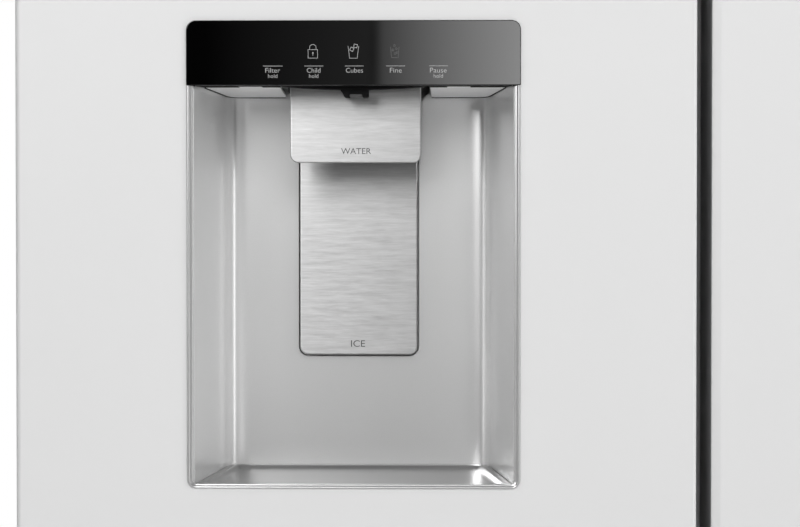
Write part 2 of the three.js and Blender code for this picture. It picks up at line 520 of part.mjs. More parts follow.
const fz = group("freezer_door", cabinet, [-HINGE_X, HINGE_Y, DOOR_Z0]);
{
  const cutout = prismY(roundRect(XD - 95.8, XD + 95.8, BEZEL_Z0 + 1, BEZEL_Z1 - 1, 4.4), DOOR_FRONT - 1, DOOR_FRONT + SKIN + 0.5, 4);
  add(fz, "freezer_door_skin", skin(FZ_DOOR, FZ_DOOR[1], 1, -HINGE_X, cutout), M.paint);

  // ---- ice chute through the door, as (y, z) outlines
  const inner = [[-297, 1258], [-297, 1250], [-384, 1206], [-384, 1186], [-345, 1186], [-345, 1194], [-244, 1236], [-204, 1248], [-204, 1258]];
  const outer = [[-299, 1256], [-299, 1251.5], [-386, 1207.5], [-386, 1188], [-343, 1188], [-343, 1192.5], [-243.5, 1233.8], [-202, 1246.4], [-202, 1256]];
  const chute = cut(prismX(outer, XD - 34, XD + 34), prismX(inner, XD - 32, XD + 32));
  const chuteSeat = prismX([[-299.4, 1270], [-299.4, 1252], [-386.4, 1208], [-386.4, 1186], [-342.6, 1186], [-342.6, 1192], [-290, 1214], [-290, 1270]], XD - 34.4, XD + 34.4);

  // ---- dispenser housing
  const D = (d) => DOOR_FRONT + d;
  const bodyBox = join(
    box(XD - 98, XD + 98, D(2.5), D(93), 908, 1198),
    prismY(roundRect(XD - 95.4, XD + 95.4, BEZEL_Z0 + 1.4, BEZEL_Z1 - 1.4, 4), D(-0.5), D(3), 4),
    prismY(roundRect(XD - BEZEL_HW, XD + BEZEL_HW, BEZEL_Z0, BEZEL_Z1, BEZEL_R), D(-BEZEL_PROUD), D(-GAP), 5),
  );
  const slot = (g) =>
    // rear pocket the ice paddle swings into, flared at the top
    prismY([[XD - 37.4 - g, 997.4 - g], [XD + 37.4 + g, 997.4 - g], [XD + 37.4 + g, 1146], [XD + 46 + g, 1158], [XD + 46 + g, 1194], [XD - 46 - g, 1194], [XD - 46 - g, 1158], [XD - 37.4 - g, 1146]], D(WELL_DEPTH - 1), D(91.3), 4);
  const housing = cut(
    bodyBox,
    prismZ(wellPlan(D(-3)), WELL_LIP_Z, WELL_TOP, 4),
    prismZ(wellPlan(D(3.2)), 912, WELL_LIP_Z + 1, 4),
    slot(0),
    // pocket in the ceiling for the paddles, the nozzle and the chute's mouth
    box(XD - 46, XD + 46, D(8), D(91.3), WELL_TOP - 1, 1192.5),
    box(XD - 34.6, XD + 34.6, D(30), D(94), 1190, 1199),
    // seat of the control panel
    box(XD - BEZEL_HW - 1, XD + BEZEL_HW + 1, D(-3), D(0), WELL_TOP - 0.2, BEZEL_Z1 + 1),
    box(XD - 93.4, XD + 93.4, D(-1), D(5.3), WELL_TOP - 0.2, BEZEL_Z1 - 4.4),
  );
  add(fz, "dispenser_housing", housing, M.silver);
  add(
    fz, "control_panel",
    join(
      prismY(roundRect(XD - BEZEL_HW, XD + BEZEL_HW, WELL_TOP + 0.2, BEZEL_Z1, [0, 0, BEZEL_R, BEZEL_R]), D(-BEZEL_PROUD), D(-GAP), 5),
      box(XD - 92.6, XD + 92.6, D(-0.5), D(5), WELL_TOP + 0.2, BEZEL_Z1 - 5.2),
    ),
    M.blackGlass,
  );
  // ---- nozzle carrier: bow-fronted black trim with the water spout
  {
    const bow = [];
    for (let i = 0; i <= 12; i++) { const u = -42 + 7 * i; bow.push([XD + u, 1160 - 3.4 * (1 - (u / 42) ** 2)]); }
    bow.push([XD + 42, 1168], [XD - 42, 1168]);
    add(
      fz, "water_nozzle",
      join(
        prismY(bow, D(9), D(22), 4),
        box(XD - 42, XD + 42, D(9), D(14), 1167, 1191),
        prismY(roundRect(XD - 8, XD + 8, 1153.6, 1164, [2.4, 2.4, 0, 0]), D(10), D(25.5), 4),
      ),
      M.blackPlastic,
    );
  }
  add(fz, "ice_chute", chute, M.blackPlastic);

  // ---- door core and inner liner: slab, dike, and the raised back of the dispenser
  const slab = prismZ(roundRect(FZ_DOOR[0] + SKIN + GAP, FZ_DOOR[1] - SKIN - GAP, DOOR_FRONT + SKIN + GAP, -337.7, [1.7, 1.7, 0, 0]), DOOR_Z0 + SKIN + GAP, DOOR_Z1 - SKIN - GAP, 2);
  const liner = cut(
    join(
      slab,
      ring(-390, -92, 127, 1679, 15.5, 30.5, 20, -340, -300),
      box(-376, -120, -340, -300, 885, 1310),
    ),
    box(XD - 98.4, XD + 98.4, D(-1), D(93.4), 907.6, 1198.4),
    chuteSeat,
    gripSeat(FZ_DOOR[1], 1),
    pinHoles(-HINGE_X),
  );
  add(fz, "freezer_door_liner", liner, M.liner);
  add(fz, "freezer_door_gasket", gasket(-424, -60.2), M.gasket);
  add(fz, "freezer_grip", gripInsert(FZ_DOOR[1], 1), M.greyPlastic);
  add(fz, "freezer_bin_upper", bin(-373.5, -123.5, -337.2, -228, 1452, 1556, 3), M.clear);
  add(fz, "freezer_bin_lower", bin(-373.5, -123.5, -337.2, -228, 640, 750, 3), M.clear);

  // ---- paddles, flap and tray
  const gi = group("ice_paddle_hinge", fz, [XD, PIVOT_ICE[0], PIVOT_ICE[1]]);
  add(
    gi, "ice_paddle",
    join(
      prismY(roundRect(XD - ICE_HW, XD + ICE_HW, ICE_Z0, 1150, [5, 5, 2, 2]), D(ICE_D), D(ICE_D + PADDLE_T), 5),
      prismX([[D(ICE_D), 1149], [D(ICE_D + PADDLE_T), 1149], [D(75.4), 1184], [D(72.6), 1184]], XD - 33, XD + 33),
      cylX(PIVOT_ICE[0], PIVOT_ICE[1], XD - 40, XD + 40, 2.8, 12),
    ),
    M.brushed,
  );
  const gw = group("water_paddle_hinge", fz, [XD, PIVOT_WATER[0], PIVOT_WATER[1]]);
  add(
    gw, "water_paddle",
    join(
      prismY(roundRect(XD - WATER_HW, XD + WATER_HW, WATER_Z0, 1172, [5, 5, 2, 2]), D(WATER_D), D(WATER_D + PADDLE_T), 5),
      prismX([[D(WATER_D), 1171], [D(WATER_D + PADDLE_T), 1171], [D(31.2), 1184], [D(27.4), 1184]], XD - 36, XD - 24),
      prismX([[D(WATER_D), 1171], [D(WATER_D + PADDLE_T), 1171], [D(31.2), 1184], [D(27.4), 1184]], XD + 24, XD + 36),
      cylX(PIVOT_WATER[0], PIVOT_WATER[1], XD - 42, XD - 22, 2.8, 12),
      cylX(PIVOT_WATER[0], PIVOT_WATER[1], XD + 22, XD + 42, 2.8, 12),
    ),
    M.brushed,
  );
  // flap that shuts the chute, hung from the chute's roof
  const gf = group("chute_flap_hinge", fz, [XD, -306, 1241.5]);
  {
    const a = [-306, 1241.5], b = [-296.5, 1218];
    const L = Math.hypot(b[0] - a[0], b[1] - a[1]), ang = Math.atan2(b[1] - a[1], b[0] - a[0]);
    add(
      gf, "chute_flap",
      join(
        solid(new THREE.BoxGeometry(61, L, 2.4).translate(0, L / 2, 0).rotateX(ang).translate(XD, a[0], a[1])),
        cylX(a[0], a[1], XD - 31, XD + 31, 2, 10),
      ),
      M.greyPlastic,
    );
  }
  // drip tray with a shallow basin
  const gt = group("drip_tray_lift", fz, [XD, D(40), 912.3]);
  {
    const plan = wellPlan(D(3.6), -0.5);
    const wedge = prismX([[D(3), 900], [D(3), 927.3], [D(82), 931.6], [D(82), 900]], XD - 100, XD + 100);
    const basin = prismZ([[XD - 80, D(9)], [XD - 66, D(66)], [XD - 58, D(71)], [XD + 58, D(71)], [XD + 66, D(66)], [XD + 80, D(9)]], 924.2, 940);
    add(gt, "drip_tray", cut(prismZ(plan, 912.3, 940).intersect(wedge), basin), M.silver);
  }
}

const ff = group("fridge_door", cabinet, [HINGE_X, HINGE_Y, DOOR_Z0]);
{
  add(ff, "fridge_door_skin", skin(FF_DOOR, FF_DOOR[0], -1, HINGE_X), M.paint);
  const slab = prismZ(roundRect(FF_DOOR[0] + SKIN + GAP, FF_DOOR[1] - SKIN - GAP, DOOR_FRONT + SKIN + GAP, -337.7, [1.7, 1.7, 0, 0]), DOOR_Z0 + SKIN + GAP, DOOR_Z1 - SKIN - GAP, 2);
  add(
    ff, "fridge_door_liner",
    cut(join(slab, ring(-17.5, 390, 127, 1679, 29, 15.5, 20, -340, -300)), gripSeat(FF_DOOR[0], -1), pinHoles(HINGE_X)),
    M.liner,
  );
  add(ff, "fridge_door_gasket", gasket(-49.5, 424), M.gasket);
  add(ff, "fridge_grip", gripInsert(FF_DOOR[0], -1), M.greyPlastic);
  add(ff, "fridge_bin_middle", bin(12.5, 373.5, -337.2, -228, 1130, 1240, 3), M.clear);
  add(ff, "fridge_bin_lower", bin(12.5, 373.5, -337.2, -228, 720, 860, 3), M.clear);
  // dairy compartment: box with an open front, closed by a hinged cover
  add(
    ff, "dairy_bin",
    cut(box(12.5, 373.5, -337.2, -236, 1440, 1580), box(15.5, 370.5, -334, -230, 1443, 1577)),
    M.clear,
  );
  const gd = group("dairy_cover_hinge", ff, [193, -231.5, 1577]);
  add(
    gd, "dairy_cover",
    join(box(13, 373, -235, -232, 1442, 1574), cylX(-231.5, 1577, 13, 373, 2.6, 10), box(13, 373, -234.4, -231.5, 1572, 1577)),
    M.clear,
  );
}

// ================================================================ hinges
const topHinge = (s) => {
  const X = (a, b) => [Math.min(s * a, s * b), Math.max(s * a, s * b)];
  const [b0, b1] = X(452, 402), [c0, c1] = X(455, 390), [p0, p1] = X(449, 405);
  return join(
    box(b0, b1, -396, -255, 1750, 1754.5),
    box(p0, p1, -318, -258, CASE_Z1 + GAP, 1751),
    prismZ(roundRect(c0, c1, -402, -245, 8), 1754, HEIGHT, 3),
    cylZ(s * HINGE_X, HINGE_Y, 1735, 1752, PIN_R, 16),
  );
};
const bottomHinge = (s) => {
  const X = (a, b) => [Math.min(s * a, s * b), Math.max(s * a, s * b)];
  const [t0, t1] = X(450, 392), [p0, p1] = X(450, 416);
  return join(
    box(t0, t1, -330, CASE_FRONT - GAP, 70, 86),
    box(p0, p1, -394, -328, 71, 77),
    cylZ(s * HINGE_X, HINGE_Y, 76, 101, PIN_R, 16),
    cylZ(s * HINGE_X, HINGE_Y, 76, DOOR_Z0 - GAP, 9, 16),
  );
};
add(cabinet, "top_hinge_left", topHinge(-1), M.whitePlastic);
add(cabinet, "top_hinge_right", topHinge(1), M.whitePlastic);
add(cabinet, "bottom_hinge_left", bottomHinge(-1), M.galvanised);
add(cabinet, "bottom_hinge_right", bottomHinge(1), M.galvanised);

// ================================================================ feet and rollers
const leg = (x) => join(cylZ(x, -300, 0, 3, 19, 20, 20), cylZ(x, -300, 3, 9, 20, 20, 14), cylZ(x, -300, 8, 57, 5.2, 12));
add(group("leg_left", cabinet, [-412, -300, 0]), "leveling_leg_left", leg(-412), M.greyPlastic);
add(group("leg_right", cabinet, [412, -300, 0]), "leveling_leg_right", leg(412), M.greyPlastic);
add(
  group("rear_wheels", cabinet, [0, 345, 17]), "rear_wheelset",
  join(cylX(345, 17, -414, 414, 4, 12), cylX(345, 17, -412, -391, 17, 24), cylX(345, 17, 391, 412, 17, 24)),
  M.greyPlastic,
);

export default root;
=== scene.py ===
import math
import random

import bmesh
import bpy
from mathutils import Matrix, Vector


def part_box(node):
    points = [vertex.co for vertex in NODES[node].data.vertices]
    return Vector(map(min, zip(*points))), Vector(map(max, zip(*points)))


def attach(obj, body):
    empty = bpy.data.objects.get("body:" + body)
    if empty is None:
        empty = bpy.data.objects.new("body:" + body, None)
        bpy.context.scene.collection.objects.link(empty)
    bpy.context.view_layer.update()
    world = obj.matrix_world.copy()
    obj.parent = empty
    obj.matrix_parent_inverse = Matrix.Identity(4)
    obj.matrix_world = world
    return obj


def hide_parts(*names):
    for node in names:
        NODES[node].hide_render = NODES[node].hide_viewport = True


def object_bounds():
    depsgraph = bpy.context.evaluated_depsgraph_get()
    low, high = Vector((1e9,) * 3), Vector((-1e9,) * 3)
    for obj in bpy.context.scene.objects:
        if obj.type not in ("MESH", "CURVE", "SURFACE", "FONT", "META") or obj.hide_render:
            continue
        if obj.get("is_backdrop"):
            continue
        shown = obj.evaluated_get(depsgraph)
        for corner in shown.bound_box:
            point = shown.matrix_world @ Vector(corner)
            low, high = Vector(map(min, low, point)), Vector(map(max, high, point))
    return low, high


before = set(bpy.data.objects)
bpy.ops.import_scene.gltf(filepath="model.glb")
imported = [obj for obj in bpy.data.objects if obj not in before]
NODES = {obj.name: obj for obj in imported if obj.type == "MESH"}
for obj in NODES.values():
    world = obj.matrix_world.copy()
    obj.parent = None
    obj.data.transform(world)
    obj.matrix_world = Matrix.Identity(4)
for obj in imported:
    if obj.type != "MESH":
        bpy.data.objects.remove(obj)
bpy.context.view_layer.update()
MM = 0.001
random.seed(7)

# ------------------------------------------------------------------ camera
cam_data = bpy.data.cameras.new("camera")
cam_data.lens = 123.7
cam_data.sensor_width = 36.0
cam_data.clip_start = 0.05
cam_data.clip_end = 200.0
cam = bpy.data.objects.new("camera", cam_data)
bpy.context.scene.collection.objects.link(cam)
eye, aim = Vector((-0.1911, -2.019, 1.0934)), Vector((-0.2318, -0.419, 1.0565))
cam.location = eye
cam.rotation_euler = (aim - eye).to_track_quat("-Z", "Y").to_euler()
bpy.context.scene.camera = cam

# ------------------------------------------------------------------ node material helpers


class Mat:
    """A small builder around one Principled material."""

    def __init__(self, name, rough=0.5, metal=0.0, base=(0.8, 0.8, 0.8), **sockets):
        self.m = bpy.data.materials.new(name)
        self.m.use_nodes = True
        self.t = self.m.node_tree
        self.b = self.t.nodes["Principled BSDF"]
        self.b.inputs["Roughness"].default_value = rough
        self.b.inputs["Metallic"].default_value = metal
        self.b.inputs["Base Color"].default_value = (*base, 1)
        self.base = base
        self.m.diffuse_color = (*base, 1)
        for k, v in sockets.items():
            self.b.inputs[k.replace("_", " ")].default_value = v
        self.coord = self.t.nodes.new("ShaderNodeTexCoord")

    def n(self, kind, **props):
        node = self.t.nodes.new(kind)
        for k, v in props.items():
            if k in node.inputs:
                node.inputs[k].default_value = v
            else:
                setattr(node, k, v)
        return node

    def link(self, a, b):
        self.t.links.new(a, b)

    def mapped(self, scale):
        mp = self.n("ShaderNodeMapping")
        mp.inputs["Scale"].default_value = scale
        self.link(self.coord.outputs["Object"], mp.inputs["Vector"])
        return mp.outputs["Vector"]

    def noise(self, scale, detail=3.0, rough=0.5, stretch=(1, 1, 1)):
        nz = self.n("ShaderNodeTexNoise")
        nz.inputs["Scale"].default_value = scale
        nz.inputs["Detail"].default_value = detail
        nz.inputs["Roughness"].default_value = rough
        self.link(self.mapped(stretch), nz.inputs["Vector"])
        return nz.outputs["Fac"]

    def remap(self, fac, lo, hi, a=0.3, b=0.7):
        r = self.n("ShaderNodeMapRange")
        r.inputs["From Min"].default_value = a
        r.inputs["From Max"].default_value = b
        r.inputs["To Min"].default_value = lo
        r.inputs["To Max"].default_value = hi
        self.link(fac, r.inputs["Value"])
        return r.outputs["Result"]

    def tint(self, fac, amount, a=0.3, b=0.7):
        """Base colour varied by a factor either way."""
        mix = self.n("ShaderNodeMix", data_type="RGBA")
        lo = [max(0.0, c * (1 - amount)) for c in self.base]
        hi = [min(1.0, c * (1 + amount)) for c in self.base]
        mix.inputs[6].default_value = (*lo, 1)
        mix.inputs[7].default_value = (*hi, 1)
        self.link(self.remap(fac, 0, 1, a, b), mix.inputs[0])
        self.link(mix.outputs[2], self.b.inputs["Base Color"])
        return self

    def rough(self, fac, lo, hi):
        self.link(self.remap(fac, lo, hi), self.b.inputs["Roughness"])
        return self

    def bump(self, fac, strength, distance):
        bp = self.n("ShaderNodeBump")
        bp.inputs["Strength"].default_value = strength
        bp.inputs["Distance"].default_value = distance
        self.link(fac, bp.inputs["Height"])
        prev = self.b.inputs["Normal"].links
        if prev:
            self.link(prev[0].from_socket, bp.inputs["Normal"])
        self.link(bp.outputs["Normal"], self.b.inputs["Normal"])
        return self


def paint(name, base, rough=0.42, peel=0.00006, spec=0.3):
    m = Mat(name, rough=rough, base=base)
    m.b.inputs["Specular IOR Level"].default_value = spec
    m.tint(m.noise(3.0, 2.0), 0.008)
    m.rough(m.noise(40.0, 3.0), rough - 0.03, rough + 0.03)
    m.bump(m.noise(420.0, 2.0), 0.35, peel)
    return m.m


def plastic(name, base, rough=0.45, grain=900.0, depth=0.00004, var=0.04, spec=0.45):
    m = Mat(name, rough=rough, base=base)
    m.b.inputs["Specular IOR Level"].default_value = spec
    m.tint(m.noise(18.0, 4.0), var)
    m.rough(m.noise(70.0, 4.0), rough - 0.05, rough + 0.05)
    m.bump(m.noise(grain, 3.0), 0.4, depth)
    return m.m


def metal(name, base, rough=0.35, stretch=(1, 1, 1), scale=60.0, var=0.06, depth=0.00003, metallic=1.0):
    m = Mat(name, rough=rough, metal=metallic, base=base)
    m.tint(m.noise(scale * 0.2, 4.0, 0.6), var)
    m.rough(m.noise(scale, 4.0, 0.6, stretch), rough - 0.07, rough + 0.07)
    m.bump(m.noise(scale * 6, 3.0, 0.5, stretch), 0.3, depth)
    return m.m


def clear(name, base=(0.93, 0.97, 0.98), rough=0.04, alpha=0.28):
    m = Mat(name, rough=rough, base=base)
    m.b.inputs["Transmission Weight"].default_value = 0.0
    m.b.inputs["Alpha"].default_value = alpha
    m.b.inputs["Specular IOR Level"].default_value = 0.7
    m.tint(m.noise(9.0, 3.0), 0.03)
    m.rough(m.noise(60.0, 3.0), rough, rough + 0.05)
    m.bump(m.noise(35.0, 2.0), 0.12, 0.0001)
    return m.m


M = {}
M["door"] = paint("door_paint", (0.775, 0.775, 0.775), 0.46, 0.00004, 0.22)
M["case"] = paint("case_paint", (0.72, 0.72, 0.72), 0.5, 0.00018, 0.3)
M["galv"] = metal("galvanised", (0.56, 0.57, 0.58), 0.42, scale=40, var=0.05)
M["foam"] = plastic("foam_yellow", (0.78, 0.68, 0.38), 0.85, 260.0, 0.0004, 0.12)
M["liner"] = plastic("liner_white", (0.84, 0.845, 0.85), 0.32, 260.0, 0.00001, 0.008)
M["white"] = plastic("white_plastic", (0.80, 0.80, 0.79), 0.4, 400.0, 0.000015, 0.012)
M["grey"] = plastic("dark_grey_plastic", (0.07, 0.07, 0.073), 0.5, 500.0, 0.00002, 0.05)
M["black"] = plastic("black_plastic", (0.006, 0.006, 0.0065), 0.38, 900.0, 0.00003, 0.15)
M["gasket"] = plastic("gasket_grey", (0.42, 0.43, 0.44), 0.7, 500.0, 0.00006, 0.05)
M["clear"] = clear("clear_plastic")
M["glass"] = clear("shelf_glass", (0.80, 0.93, 0.89), 0.02, 0.3)
M["motor"] = paint("motor_black", (0.015, 0.015, 0.016), 0.4, 0.0001, 0.5)
M["alu"] = metal("aluminium", (0.75, 0.76, 0.77), 0.33, scale=50)
M["copper"] = metal("copper", (0.72, 0.36, 0.2), 0.3, scale=30, var=0.1)
M["steel"] = metal("zinc_steel", (0.6, 0.6, 0.6), 0.3, scale=80)


def silver_material():
    m = Mat("silver_moulding", rough=0.3, metal=0.42, base=(0.76, 0.76, 0.76))
    m.tint(m.noise(1500.0, 1.0), 0.02)
    m.rough(m.noise(12.0, 2.0), 0.235, 0.26)
    return m.m


def brushed_material():
    m = Mat("brushed_steel", rough=0.37, metal=1.0, base=(0.50, 0.50, 0.50))
    m.b.inputs["Anisotropic"].default_value = 0.4
    m.b.inputs["Anisotropic Rotation"].default_value = 0.25
    streak = m.noise(1700.0, 4.0, 0.7, (0.06, 1.0, 1.0))
    broad = m.noise(380.0, 3.0, 0.6, (0.09, 1.0, 1.0))
    add = m.n("ShaderNodeMath", operation="ADD")
    half = m.n("ShaderNodeMath", operation="MULTIPLY")
    half.inputs[1].default_value = 0.5
    m.link(streak, add.inputs[0])
    m.link(broad, add.inputs[1])
    m.link(add.outputs[0], half.inputs[0])
    m.tint(half.outputs[0], 0.12, 0.35, 0.65)
    m.rough(streak, 0.33, 0.4)
    m.bump(streak, 0.2, 0.00001)
    return m.m


def glass_black_material():
    m = Mat("black_control_glass", rough=0.02, base=(0.0004, 0.0004, 0.00045))
    m.tint(m.noise(5.0, 2.0), 0.2)
    m.rough(m.noise(25.0, 3.0), 0.012, 0.028)
    m.b.inputs["Specular IOR Level"].default_value = 0.5
    return m.m


def legend_material(name, base):
    m = Mat(name, rough=0.5, base=base)
    m.tint(m.noise(900.0, 2.0), 0.06)
    return m.m


M["silver"] = silver_material()
M["brushed"] = brushed_material()
M["bglass"] = glass_black_material()
M["legend"] = legend_material("legend_grey", (0.44, 0.44, 0.44))
M["legend_dim"] = legend_material("legend_dim", (0.05, 0.05, 0.05))
M["engraved"] = legend_material("engraved_grey", (0.07, 0.07, 0.07))
# mid grey for the doors' inner side faces, painted shade for the narrow gap between the doors
M["trim"] = plastic("gap_shade_grey", (0.45, 0.45, 0.455), 0.5, 900.0, 0.00004, 0.05, 0.3)
M["matt"] = plastic("matt_black", (0.004, 0.004, 0.0042), 0.7, 900.0, 0.00003, 0.15, 0.12)
M["spout_grey"] = plastic("spout_grey", (0.10, 0.10, 0.10), 0.6, 900.0, 0.00003, 0.1, 0.2)


# painted light: the well's silver with a lighter, less metallic base, used on the ceiling alone to offset the shade it
# sits in
def lit_ceiling_material():
    m = Mat("silver_ceiling_painted_light", rough=0.5, metal=0.1, base=(0.9, 0.9, 0.9))
    m.tint(m.noise(1500.0, 1.0), 0.02)
    m.rough(m.noise(12.0, 2.0), 0.48, 0.54)
    return m.m


M["ceiling"] = lit_ceiling_material()


def tray_material(name, base):
    m = Mat(name, rough=0.3, metal=0.75, base=(base, base, base))
    m.tint(m.noise(1500.0, 1.0), 0.02)
    m.rough(m.noise(12.0, 2.0), 0.28, 0.32)
    return m.m


M["tray"] = tray_material("silver_tray", 0.29)
M["rim"] = tray_material("silver_rim", 0.5)

# ------------------------------------------------------------------ mesh helpers (millimetres in, metres out)


def obj_from(name, verts, faces, material, smooth=32.0):
    me = bpy.data.meshes.new(name)
    me.from_pydata([(x * MM, y * MM, z * MM) for x, y, z in verts], [], faces)
    me.validate()
    bm = bmesh.new()
    bm.from_mesh(me)
    bmesh.ops.remove_doubles(bm, verts=bm.verts, dist=1e-7)
    bmesh.ops.recalc_face_normals(bm, faces=bm.faces)
    bm.to_mesh(me)
    bm.free()
    o = bpy.data.objects.new(name, me)
    bpy.context.scene.collection.objects.link(o)
    for m in material if isinstance(material, (list, tuple)) else [material]:
        me.materials.append(m)
    if smooth:
        me.shade_smooth()
        me.set_sharp_from_angle(angle=math.radians(smooth))
    return o


def extrude(name, pts, axis, lo, hi, material, smooth=32.0):
    """Closed outline raised along an axis: x takes (y, z), y takes (x, z), z takes (x, y)."""
    def at(p, h):
        return {"x": (h, p[0], p[1]), "y": (p[0], h, p[1]), "z": (p[0], p[1], h)}[axis]
    n = len(pts)
    verts = [at(p, lo) for p in pts] + [at(p, hi) for p in pts]
    faces = [tuple(range(n)), tuple(range(2 * n - 1, n - 1, -1))]
    faces += [(i, (i + 1) % n, n + (i + 1) % n, n + i) for i in range(n)]
    return obj_from(name, verts, faces, material, smooth)


def cuboid(name, x0, x1, y0, y1, z0, z1, material):
    return extrude(name, [(x0, y0), (x1, y0), (x1, y1), (x0, y1)], "z", z0, z1, material)


def rrect(x0, x1, y0, y1, r, n=8):
    """Rounded rectangle; r is one radius or [bottom left, bottom right, top right, top left]."""
    rr = r if isinstance(r, (list, tuple)) else [r] * 4
    c = [(x0, y0, 1, 1, 180), (x1, y0, -1, 1, 270), (x1, y1, -1, -1, 0), (x0, y1, 1, -1, 90)]
    out = []
    for (cx, cy, sx, sy, a0), q in zip(c, rr):
        if q <= 0:
            out.append((cx, cy))
            continue
        ox, oy = cx + sx * q, cy + sy * q
        for i in range(n + 1):
            a = math.radians(a0 + 90 * i / n)
            out.append((ox + q * math.cos(a), oy + q * math.sin(a)))
    return out


def lathe(name, prof, axis, centre, material, n=48, smooth=32.0):
    """Profile of (radius, height) turned about an axis through centre."""
    verts, faces = [], []
    for r, h in prof:
        for k in range(n):
            a = 2 * math.pi * k / n
            u, v = r * math.cos(a), r * math.sin(a)
            p = {"x": (h, u, v), "y": (u, h, v), "z": (u, v, h)}[axis]
            verts.append(tuple(p[i] + centre[i] for i in range(3)))
    for j in range(len(prof) - 1):
        for k in range(n):
            a, b = j * n + k, j * n + (k + 1) % n
            faces.append((a, b, b + n, a + n))
    if prof[0][0] > 1e-6:
        faces.append(tuple(range(n)))
    if prof[-1][0] > 1e-6:
        faces.append(tuple(range((len(prof) - 1) * n, len(prof) * n)))
    return obj_from(name, verts, faces, material, smooth)


def tube(name, pts, r, material, n=12, closed=False, smooth=40.0):
    """Round bar along a list of points."""
    P = [Vector(p) for p in pts]
    verts, faces = [], []
    m = len(P)
    prev = None
    for i, p in enumerate(P):
        if closed:
            d = (P[(i + 1) % m] - P[i - 1]).normalized()
        else:
            d = (P[min(i + 1, m - 1)] - P[max(i - 1, 0)]).normalized()
        if prev is None:
            ref = Vector((0, 0, 1)) if abs(d.z) < 0.9 else Vector((1, 0, 0))
            u = d.cross(ref).normalized()
        else:
            u = (prev - d * prev.dot(d)).normalized()
        prev = u
        v = d.cross(u)
        for k in range(n):
            a = 2 * math.pi * k / n
            verts.append(tuple(p + u * (r * math.cos(a)) + v * (r * math.sin(a))))
    for j in range(m if closed else m - 1):
        for k in range(n):
            a, b = j * n + k, j * n + (k + 1) % n
            c, d2 = ((j + 1) % m) * n + (k + 1) % n, ((j + 1) % m) * n + k
            faces.append((a, b, c, d2))
    if not closed:
        faces.append(tuple(range(n)))
        faces.append(tuple(range((m - 1) * n, m * n)))
    return obj_from(name, verts, faces, material, smooth)


def fillet_path(pts, r, n=6):
    """Polyline with its inner corners rounded."""
    P = [Vector(p) for p in pts]
    out = [P[0]]
    for i in range(1, len(P) - 1):
        a, b, c = P[i - 1], P[i], P[i + 1]
        da, dc = (a - b), (c - b)
        q = min(r, da.length * 0.45, dc.length * 0.45)
        s, e = b + da.normalized() * q, b + dc.normalized() * q
        for k in range(n + 1):
            t = k / n
            out.append(s * (1 - t) ** 2 + b * (2 * t * (1 - t)) + e * t * t)
    out.append(P[-1])
    return out


def bake(o):
    """Turns an object's modifiers into its mesh."""
    dg = bpy.context.evaluated_depsgraph_get()
    me = bpy.data.meshes.new_from_object(o.evaluated_get(dg), preserve_all_data_layers=True, depsgraph=dg)
    o.modifiers.clear()
    o.data = me
    return o


def carve(o, *cutters, op="DIFFERENCE"):
    for c in cutters:
        md = o.modifiers.new("cut", "BOOLEAN")
        md.object = c
        md.operation = op
        md.solver = "EXACT"
    bake(o)
    for c in cutters:
        bpy.data.objects.remove(c, do_unlink=True)
    o.data.shade_smooth()
    o.data.set_sharp_from_angle(angle=math.radians(32))
    return o


def merge(name, objs):
    """Several meshes made into one object that keeps each one's materials."""
    bm = bmesh.new()
    mats = []
    for o in objs:
        bake(o) if o.modifiers else None
        start = len(bm.faces)
        local = []
        for m in o.data.materials:
            if m not in mats:
                mats.append(m)
            local.append(mats.index(m))
        bm.from_mesh(o.data)
        bm.faces.ensure_lookup_table()
        for f in bm.faces[start:]:
            f.material_index = local[f.material_index] if local else 0
    me = bpy.data.meshes.new(name)
    bm.to_mesh(me)
    bm.free()
    for m in mats:
        me.materials.append(m)
    for o in objs:
        bpy.data.objects.remove(o, do_unlink=True)
    out = bpy.data.objects.new(name, me)
    bpy.context.scene.collection.objects.link(out)
    return out


def bevel(o, width, segments=3, angle=32.0):
    md = o.modifiers.new("bevel", "BEVEL")
    md.width = width * MM
    md.segments = segments
    md.limit_method = "ANGLE"
    md.angle_limit = math.radians(angle)
    md.harden_normals = True
    md.use_clamp_overlap = True
    return o


def piece(o, body, slot, *nodes):
    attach(o, body)
    if nodes:
        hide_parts(*nodes)
    return o


def dress(node, material, width=0.8, segments=2):
    """Keeps a CAD node and gives it rounded edges and a material."""
    o = NODES[node]
    o.data.materials.clear()
    for m in material if isinstance(material, (list, tuple)) else [material]:
        o.data.materials.append(m)
    if width:
        w = o.modifiers.new("weld", "WELD")
        w.merge_threshold = 0.00002
        bevel(o, width, segments)
    return o


def text_mesh(name, body, size, x, z, y, depth, material, spacing=1.0, thin=0.0):
    """A line of generic lettering standing on a plane that faces -Y, centred on x."""
    cu = bpy.data.curves.new(name, "FONT")
    cu.body = body
    cu.size = size * MM
    cu.align_x = "CENTER"
    cu.align_y = "CENTER"
    cu.extrude = depth * MM / 2
    cu.space_character = spacing
    cu.resolution_u = 4
    cu.offset = -thin * MM
    o = bpy.data.objects.new(name, cu)
    bpy.context.scene.collection.objects.link(o)
    dg = bpy.context.evaluated_depsgraph_get()
    me = bpy.data.meshes.new_from_object(o.evaluated_get(dg), depsgraph=dg)
    bpy.data.objects.remove(o, do_unlink=True)
    me.transform(Matrix.Translation((x * MM, y * MM, z * MM)) @ Matrix.Rotation(math.radians(90), 4, "X"))
    out = bpy.data.objects.new(name, me)
    bpy.context.scene.collection.objects.link(out)
    me.materials.clear()
    me.materials.append(material)
    return out


# ------------------------------------------------------------------ shared sizes, from the CAD
def mmbox(node):
    lo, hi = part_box(node)
    return [v / MM for v in lo], [v / MM for v in hi]


